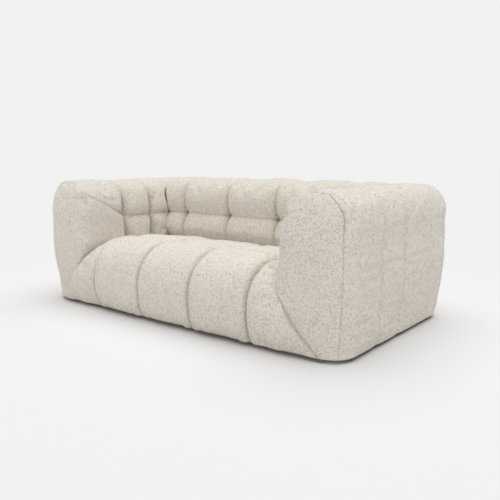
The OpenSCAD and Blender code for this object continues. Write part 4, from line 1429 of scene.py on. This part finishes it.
    def over_top(self, last: Array, spans: Spans) -> list[Array]:
        """Rings over the top, which draw in to a thin loop round the spine.

        The spine is the line midway between both edges, as high as both on average beside the
        seat and as high as the top beside the back.

        Args:
            last: highest ring of the surface, shape (columns, 3).
            spans: columns of each run.

        Returns:
            Rings from just above the last one to the loop.
        """
        form = self.form
        y = np.clip(last[:, 1], last[:, 1].min() + self.spine_end, last[:, 1].max() - self.spine_end)
        outer_x = form.outer_x(form.height)
        mid_front = (form.inner_x(form.height) + outer_x) / 2.0
        mid_rear = (form.half_w + self.wall_spread + outer_x) / 2.0
        behind = smooth((y - form.lean(np.array(form.height))) / self.wall_ease)
        inner, outer = last[spans["inner_2"].start : spans["panel"].start], last[spans["side"]]
        inside = np.interp(-y, -inner[:, 1], inner[:, 2])
        outside = np.interp(y, outer[:, 1], outer[:, 2])
        z = mix((inside + outside) / 2.0, form.height, behind)
        spine = np.column_stack([mix(mid_front, mid_rear, behind), y, z])
        return [mix(last, spine, share) for share in self.drawn_in]

    def with_ends(self, points: Array, spans: Spans) -> Array:
        """Rings with the hem turned under below them and the top drawn in above."""
        return np.concatenate([self.under_hem(points[0]), points, self.over_top(points[-1], spans)])

    def sewn(self, points: Array, top_row: int, panel: int) -> Array:
        """Nearness to the front panel's outer and top seams.

        Args:
            points: rings of the arm, whose first column is the outer seam.
            top_row: row of the top seam.
            panel: first column of the panel.

        Returns:
            Values from 0 to 1, less below the cross seam and none under the hem.
        """
        away = np.linalg.norm(points - points[:, :1], axis=2)
        away[top_row + 1 :] = 1.0
        over = np.linalg.norm(points[:, panel:] - points[top_row, panel:], axis=2)
        away[:, panel:] = np.minimum(away[:, panel:], over)
        above = smooth((points[:, :, 2] - self.form.tuft_z) / self.seam_ease_h)
        return cusp(away, self.seam_w) * (self.free(len(points)) * mix(self.seam_low, 1.0, above))

    def free(self, rows: int) -> Array:
        """Share of the relief at each row: 0 under the hem, then growing to 1, shape (rows, 1)."""
        return unit(np.arange(rows) / self.below - 1.0)[:, None]

    def held(self, rise: Array, spans: Spans) -> Array:
        """How firmly the cloth is held: 1 at the seams, the hem and against the back.

        Args:
            rise: share of the padding's height, shape (rows, columns).
            spans: columns of each run.

        Returns:
            Weights of the same shape, little on the inner pads and some on the outer side.
        """
        held = mix(1.0, 0.15, smooth((rise - 0.30) / 0.50))
        edge = STEP + 1
        side, wall = spans["side"].start, spans["wall"].start
        inner, seam = spans["inner_2"].start, spans["panel"].start
        held[: self.below + edge], held[-edge:] = 1.0, 1.0
        held[:, wall - edge : inner + 2 * edge] = 1.0
        held[:, seam - 3 * edge :] = 1.0
        held[:, :edge] = 1.0
        held[:, side:wall] = np.maximum(held[:, side:wall], 0.4)
        return held

    def inner_skin(self, crest: Array, drop: Array, spans: Spans) -> Array:
        """Every STEP-th point of the crest, moved in along its normals by the drop.

        The normals of the outer side, the wall and the inner face are worked out apart, so that the
        corners between them stay sharp.

        Args:
            crest: crest points, shape (rows, columns, 3).
            drop: how far each point moves in, shape (rows, columns).
            spans: columns of each run.

        Returns:
            Points of the inner skin.
        """
        wall, front = spans["wall"].start, spans["inner_2"].start
        runs = [crest[:, :wall], crest[:, wall:front], crest[:, front:]]
        normal = np.concatenate([normals_of(run) for run in runs], axis=1)
        return (crest - normal * drop[:, :, None])[::STEP, ::STEP]

    def build(self) -> list[Thing]:
        """The arm's cover and front panel."""
        points, crest, drop, rise, painted_shade, spans = self.surface()
        ends = ((self.below, len(self.drawn_in)), (0, 0))
        drop, rise, painted_shade = [np.pad(grid, ends, "edge") for grid in (drop + 0.0 * rise, rise, painted_shade)]
        points, crest = self.with_ends(points, spans), self.with_ends(crest, spans)
        if (len(points) - 1) % STEP:
            raise ValueError(f"{len(points)} rows don't end on a row of the inner skin")
        name = self.side.value
        points = points + self.settling.offsets(name, points, self.held(rise, spans), True)
        normal = normals_of(points, wraps=True)
        top_row = int(np.searchsorted(self.levels(), self.form.panel_top) + self.below) // STEP
        sewn = self.sewn(points, top_row * STEP, spans["panel"].start)
        depth = self.relief(points, rise) * self.free(len(points)) - self.seam_d * sewn
        points = points + normal * depth[:, :, None]
        inner = self.inner_skin(crest, drop, spans)
        # Painted shade along the front panel's seams as well
        skin = Skin(points, inner, np.maximum(painted_shade, self.seam_shade * sewn), wraps=True)
        panel = np.zeros(skin.cells, bool)
        panel[:top_row, spans["panel"].start // STEP :] = True
        left = self.side is Side.LEFT
        cover = skin.mesh(f"{name}_arm_padding", ~panel, left, capped=True)
        front = skin.mesh(f"{name}_arm_front_padding", panel, left)
        return [
            self.finish(cover, f"{name}_arm_cover"),
            self.finish(front, f"{name}_arm_front_panel"),
        ]


class Nodes:
    """Small builder of the node tree of a material or a world."""

    def __init__(self, owner: bpy.types.Material | bpy.types.World) -> None:
        """Start with the owner's tree, emptied."""
        owner.use_nodes = True
        self.tree = owner.node_tree
        self.tree.nodes.clear()

    def add(
        self, kind: str, inputs: dict[str | int, Value] | None = None, **settings: str | bool
    ) -> bpy.types.Node:
        """Node of a kind.

        Args:
            kind: Blender's name for the kind.
            inputs: a value or another node's output for each input by name or number.
            settings: properties of the node.

        Returns:
            The node.
        """
        node = self.tree.nodes.new(kind)
        for key, value in settings.items():
            setattr(node, key, value)
        for key, value in (inputs or {}).items():
            if isinstance(value, Socket):
                self.tree.links.new(value, node.inputs[key])
            else:
                node.inputs[key].default_value = value
        return node

    def maths(self, operation: str, first: Value, second: Value = 0.0, clamp: bool = False) -> Socket:
        """Result of a maths node on two values or outputs."""
        inputs = {0: first, 1: second}
        return self.add("ShaderNodeMath", inputs, operation=operation, use_clamp=clamp).outputs[0]

    def blend(self, share: Value, first: Value, second: Value, kind: str = "MIX") -> Socket:
        """Colour between two colours or outputs."""
        inputs = {0: share, 6: opaque(first), 7: opaque(second)}
        return self.add("ShaderNodeMix", inputs, data_type="RGBA", blend_type=kind).outputs[2]

    def ramp(self, share: Value, stops: list[tuple[float, Colour]]) -> Socket:
        """Colour along a ramp.

        Args:
            share: place on the ramp, a value or an output.
            stops: places from 0 to 1 with their colours.

        Returns:
            The ramp's colour output.
        """
        node = self.add("ShaderNodeValToRGB", {0: share})
        elements = node.color_ramp.elements
        while len(elements) < len(stops):
            elements.new(0.5)
        for element, (place, colour) in zip(elements, stops):
            element.position = place
            element.color = opaque(colour)
        return node.outputs[0]


def opaque(colour: Value) -> Value:
    """Colour with an alpha of 1; an output stays as it is."""
    return colour if isinstance(colour, Socket) else (*colour, 1.0)


def mix_colour(first: Colour, second: Colour, share: float) -> Colour:
    """Colour a share of the way from the first to the second."""
    return tuple(mix(start, end, share) for start, end in zip(first, second))


@dataclass(frozen=True)
class Finish:
    """Material that is made once, at its first use."""

    name: str

    def material(self) -> bpy.types.Material:
        """The finish's material."""
        material = bpy.data.materials.get(self.name)
        if material is None:
            material = bpy.data.materials.new(self.name)
            nodes = Nodes(material)
            nodes.add("ShaderNodeOutputMaterial", {"Surface": self.shader(nodes).outputs[0]})
        return material

    def shader(self, nodes: Nodes) -> bpy.types.Node:
        """The finish's shader, added to a tree; each kind of finish has its own."""
        raise NotImplementedError


@dataclass(frozen=True)
class BoucleCloth(Finish):
    """Cream looped boucle: small round nubs with painted shade between the loops and in the seams' folds,
    and grey-brown flecks.
    """

    name: str = "boucle"
    crest: Colour = (0.905, 0.862, 0.800)
    # Painted shade between the loops: the cloth's colour where it lies lowest
    painted_hollow_shade: Colour = (0.66, 0.61, 0.53)
    fleck: Colour = (0.19, 0.175, 0.15)
    # Painted shade in seams, corners and round tufts, multiplied into the cloth's colour
    painted_shade_tint: Colour = (0.50, 0.475, 0.42)
    nubs_per_m: float = 230.0
    flecks_per_m: float = 185.0
    fleck_share: float = 0.34
    height: float = 0.0026

    def shader(self, nodes: Nodes) -> bpy.types.Node:
        """Rough cloth with a sheen, whose relief follows the loops and whose colour carries painted shade
        between the loops and in the seams.
        """
        place = nodes.add("ShaderNodeTexCoord").outputs["Object"]
        bent = self.bent(nodes, place)
        height = self.loops(nodes, place, bent)
        # The colour darkens as the loops' height falls, as painted shade between the loops
        middle = mix_colour(self.painted_hollow_shade, self.crest, 0.80)
        colour = nodes.ramp(height, [(0.36, self.painted_hollow_shade), (0.56, middle), (0.76, self.crest)])
        colour = nodes.blend(self.fleck_mask(nodes, bent), colour, self.fleck)
        # Painted shade: the colour is multiplied towards the darker tint by the attribute's share, in
        # seams, corners and round tufts
        painted_shade = nodes.add("ShaderNodeAttribute", attribute_name="painted_shade", attribute_type="GEOMETRY")
        painted_shaded_colour = nodes.blend(1.0, colour, self.painted_shade_tint, "MULTIPLY")
        colour = nodes.blend(nodes.maths("MULTIPLY", painted_shade.outputs["Fac"], 0.8, True), colour, painted_shaded_colour)
        relief = nodes.add("ShaderNodeBump", {"Height": height, "Strength": 0.75, "Distance": self.height})
        inputs = {
            "Base Color": colour,
            "Roughness": 0.95,
            "Specular IOR Level": 0.15,
            "Sheen Weight": 0.25,
            "Sheen Roughness": 0.5,
            "Normal": relief.outputs[0],
        }
        return nodes.add("ShaderNodeBsdfPrincipled", inputs)

    def bent(self, nodes: Nodes, place: Socket) -> Socket:
        """Place moved a little by noise, so that the loops stand in no even order.

        Args:
            nodes: tree to add to.
            place: Object coordinates.

        Returns:
            The moved place.
        """
        wobble = nodes.add("ShaderNodeTexNoise", {"Vector": place, "Scale": 150.0, "Detail": 1.0})
        inputs = {0: wobble.outputs["Color"], 1: (0.5, 0.5, 0.5)}
        shift = nodes.add("ShaderNodeVectorMath", inputs, operation="SUBTRACT").outputs[0]
        small = nodes.add("ShaderNodeVectorMath", {0: shift, "Scale": 0.005}, operation="SCALE")
        inputs = {0: place, 1: small.outputs[0]}
        return nodes.add("ShaderNodeVectorMath", inputs, operation="ADD").outputs[0]

    def loops(self, nodes: Nodes, place: Socket, bent: Socket) -> Socket:
        """Height of the cloth: a dome for each loop, plus the yarn's fuzz and slow swells.

        Args:
            nodes: tree to add to.
            place: Object coordinates, for the fuzz and the swells.
            bent: the moved place, for the loops.

        Returns:
            Height from 0 to about 1.
        """
        loops = nodes.add("ShaderNodeTexVoronoi", {"Vector": bent, "Scale": self.nubs_per_m})
        yarn = nodes.add("ShaderNodeTexNoise", {"Vector": place, "Scale": 800.0, "Detail": 2.0})
        clumps = nodes.add("ShaderNodeTexNoise", {"Vector": place, "Scale": 70.0, "Detail": 2.0})
        dome = nodes.maths("SUBTRACT", 1.0, loops.outputs["Distance"], clamp=True)
        fuzz = nodes.maths("MULTIPLY", yarn.outputs["Fac"], 0.25)
        swell = nodes.maths("MULTIPLY", clumps.outputs["Fac"], 0.25)
        return nodes.maths("ADD", nodes.maths("ADD", nodes.maths("MULTIPLY", dome, 0.60), fuzz), swell)

    def fleck_mask(self, nodes: Nodes, place: Socket) -> Socket:
        """Small dark ends of yarn: a dot in each chosen cell, which fades out from its middle.

        Args:
            nodes: tree to add to.
            place: the moved place.

        Returns:
            Share of the fleck's colour.
        """
        cells = nodes.add("ShaderNodeTexVoronoi", {"Vector": place, "Scale": self.flecks_per_m})
        chosen = nodes.add("ShaderNodeSeparateColor", {0: cells.outputs["Color"]})
        picked = nodes.maths("LESS_THAN", chosen.outputs[0], self.fleck_share)
        far = nodes.maths("MULTIPLY", cells.outputs["Distance"], 1.6)
        dot = nodes.maths("SUBTRACT", 1.0, far, clamp=True)
        depth = nodes.maths("MULTIPLY", chosen.outputs[1], 1.15)
        return nodes.maths("MULTIPLY", nodes.maths("MULTIPLY", picked, dot), depth, clamp=True)


@dataclass(frozen=True)
class GrainFinish(Finish):
    """Plain finish whose colour and relief vary with stretched noise.

    Stretch gives the noise's scale along X, Y and Z, so wood grain runs along the smallest one.
    """

    light: Colour
    dark: Colour
    stretch: tuple[float, float, float]
    roughness: float = 0.7
    metallic: float = 0.0
    relief: float = 0.0004
    sheen: float = 0.0

    def shader(self, nodes: Nodes) -> bpy.types.Node:
        """Shader whose colour runs from dark to light with the noise."""
        place = nodes.add("ShaderNodeTexCoord").outputs["Object"]
        scaled = nodes.add("ShaderNodeMapping", {"Vector": place, "Scale": self.stretch}).outputs[0]
        grain = nodes.add("ShaderNodeTexNoise", {"Vector": scaled, "Scale": 1.0, "Detail": 4.0})
        height = grain.outputs["Fac"]
        inputs = {"Height": height, "Strength": 0.6, "Distance": self.relief}
        bumps = nodes.add("ShaderNodeBump", inputs)
        inputs = {
            "Base Color": nodes.ramp(height, [(0.32, self.dark), (0.68, self.light)]),
            "Roughness": self.roughness,
            "Metallic": self.metallic,
            "Sheen Weight": self.sheen,
            "Normal": bumps.outputs[0],
        }
        return nodes.add("ShaderNodeBsdfPrincipled", inputs)


@dataclass(frozen=True)
class MattFinish(Finish):
    """Plain matt colour."""

    colour: Colour

    def shader(self, nodes: Nodes) -> bpy.types.Node:
        """Diffuse shader of the colour."""
        return nodes.add("ShaderNodeBsdfDiffuse", {"Color": opaque(self.colour)})


class FrameFinishes:
    """Finishes of the pieces inside and under the covers, by what they are made of."""

    softwood = GrainFinish("softwood", (0.66, 0.46, 0.26), (0.46, 0.29, 0.15), (6.0, 90.0, 90.0))
    plywood = GrainFinish("plywood", (0.72, 0.53, 0.33), (0.55, 0.37, 0.21), (70.0, 8.0, 500.0))
    fibreboard = GrainFinish("fibreboard", (0.40, 0.26, 0.15), (0.28, 0.17, 0.09), (300.0,) * 3)
    foam = GrainFinish("foam", (0.86, 0.76, 0.45), (0.74, 0.62, 0.33), (500.0,) * 3, roughness=0.95)
    felt = GrainFinish(
        "felt", (0.34, 0.33, 0.32), (0.18, 0.18, 0.18), (400.0, 400.0, 90.0), roughness=1.0, sheen=0.3
    )
    webbing = GrainFinish(
        "webbing", (0.07, 0.07, 0.08), (0.03, 0.03, 0.035), (900.0, 60.0, 900.0), roughness=0.9
    )
    steel = GrainFinish(
        "zinc_steel", (0.62, 0.63, 0.64), (0.42, 0.43, 0.45), (150.0,) * 3,
        roughness=0.35, metallic=1.0, relief=0.0001,
    )
    plastic = GrainFinish(
        "foot_plastic", (0.022, 0.022, 0.024), (0.012, 0.012, 0.013), (800.0,) * 3,
        roughness=0.55, relief=0.0002,
    )
    dust = GrainFinish(
        "dust_cloth", (0.035, 0.035, 0.038), (0.012, 0.012, 0.013), (700.0,) * 3,
        roughness=0.95, sheen=0.2,
    )

    def by_word(self) -> list[tuple[str, GrainFinish]]:
        """Words in node names with their finishes, of which the first that fits counts."""
        return [
            ("pad", self.felt), ("feet", self.plastic), ("foam", self.foam),
            ("dust", self.dust), ("webbing", self.webbing), ("formers", self.plywood),
            ("top_board", self.plywood), ("base_board", self.plywood), ("board", self.fibreboard),
            ("rail", self.softwood), ("blocks", self.softwood), ("", self.steel),
        ]

    def dress(self, nodes: dict[str, Thing]) -> None:
        """Give every shown node its finish.

        Args:
            nodes: the frame's nodes by name.
        """
        for name, node in nodes.items():
            if node.hide_render:
                continue
            finish = next(found for word, found in self.by_word() if word in name)
            for slot in node.material_slots:
                slot.material = finish.material()
            if not node.material_slots:
                node.data.materials.append(finish.material())
            log.info("%s: %s", name, finish.name)


@dataclass(frozen=True)
class Lamp:
    """Soft distant light, turned from straight above by the tilt. Angles are in degrees."""

    name: str
    strength: float
    tint: Colour
    tilt: tuple[float, float, float]
    softness: float

    def build(self) -> Thing:
        """The lamp, linked to the scene."""
        lamp = bpy.data.lights.new(self.name, "SUN")
        lamp.energy = self.strength
        lamp.color = self.tint
        lamp.angle = math.radians(self.softness)
        thing = placed(self.name, lamp)
        thing.rotation_euler = [math.radians(angle) for angle in self.tilt]
        return thing


@dataclass(frozen=True)
class Studio:
    """Plain pale floor and backdrop, soft light from above, and the photograph's camera."""

    camera_place: tuple[float, float, float] = (2.028, -2.418, 0.805)
    azimuth: float = 38.5
    pitch: float = 8.9
    lens: float = 41.8
    sensor: float = 36.0
    backdrop: float = 0.887
    floor_r: float = 60.0
    floor_sides: int = 64
    floor_finish: MattFinish = MattFinish("studio_floor", (0.924, 0.922, 0.930))
    ambient: float = 0.33
    ambient_tint: Colour = (1.0, 0.965, 0.91)
    top: Lamp = Lamp("top_light", 2.06, (0.968, 0.985, 1.0), (-6.0, 0.0, 0.0), 80.0)
    fill: Lamp = Lamp("front_fill", 0.53, (1.0, 0.965, 0.92), (48.0, 0.0, 30.0), 60.0)

    def floor(self) -> Thing:
        """Wide round floor at Z = 0."""
        angle = np.linspace(0.0, 2.0 * math.pi, self.floor_sides + 1)[:-1]
        points = np.stack([self.floor_r * np.cos(angle), self.floor_r * np.sin(angle), 0.0 * angle], 1)
        thing = polygon_object("studio_floor", points, [np.arange(self.floor_sides)[None, :]])
        thing.data.materials.append(self.floor_finish.material())
        return thing

    def world(self) -> None:
        """Ambient light, with the pale backdrop seen by the camera, in gloss and through glass."""
        world = bpy.data.worlds.new("studio")
        bpy.context.scene.world = world
        nodes = Nodes(world)
        ambient = nodes.add("ShaderNodeBackground", {0: opaque(self.ambient_tint), 1: self.ambient})
        backdrop = nodes.add("ShaderNodeBackground", {0: opaque((self.backdrop,) * 3)})
        path = nodes.add("ShaderNodeLightPath").outputs
        seen = path["Is Camera Ray"]
        for key in ("Is Glossy Ray", "Is Transmission Ray"):
            seen = nodes.maths("MAXIMUM", seen, path[key])
        inputs = {0: seen, 1: ambient.outputs[0], 2: backdrop.outputs[0]}
        choice = nodes.add("ShaderNodeMixShader", inputs)
        nodes.add("ShaderNodeOutputWorld", {0: choice.outputs[0]})

    def light(self, floor: Thing) -> None:
        """Soft light from above, and a weaker one from the front that leaves out the floor."""
        self.top.build()
        left_out = bpy.data.collections.new("not_filled")
        left_out.objects.link(floor)
        left_out.collection_objects[0].light_linking.link_state = "EXCLUDE"
        self.fill.build().light_linking.receiver_collection = left_out

    def camera(self) -> None:
        """Camera at the photograph's place and angle."""
        data = bpy.data.cameras.new("photo_camera")
        data.lens = self.lens
        data.sensor_width = self.sensor
        thing = placed("photo_camera", data)
        thing.location = self.camera_place
        thing.rotation_euler = (math.radians(90.0 - self.pitch), 0.0, math.radians(self.azimuth))
        bpy.context.scene.camera = thing

    def build(self) -> None:
        """Set up floor, backdrop, light, camera and plain colour handling."""
        self.camera()
        self.world()
        self.light(self.floor())
        bpy.context.scene.view_settings.view_transform = "Standard"


def main() -> None:
    """Build the covers, dress the frame and set up the studio."""
    logging.basicConfig(level=logging.INFO, format="%(name)s: %(message)s")
    form = SofaForm.from_frame()
    cloth = BoucleCloth()
    Studio().build()
    SeatCover(form, cloth, seed=11).build()
    BackCover(form, cloth, seed=23).build()
    ArmCovers(form, cloth, seed=37, side=Side.LEFT).build()
    ArmCovers(form, cloth, seed=41, side=Side.RIGHT).build()
    FrameFinishes().dress(frame["nodes"])


if __name__ == "__main__":
    main()
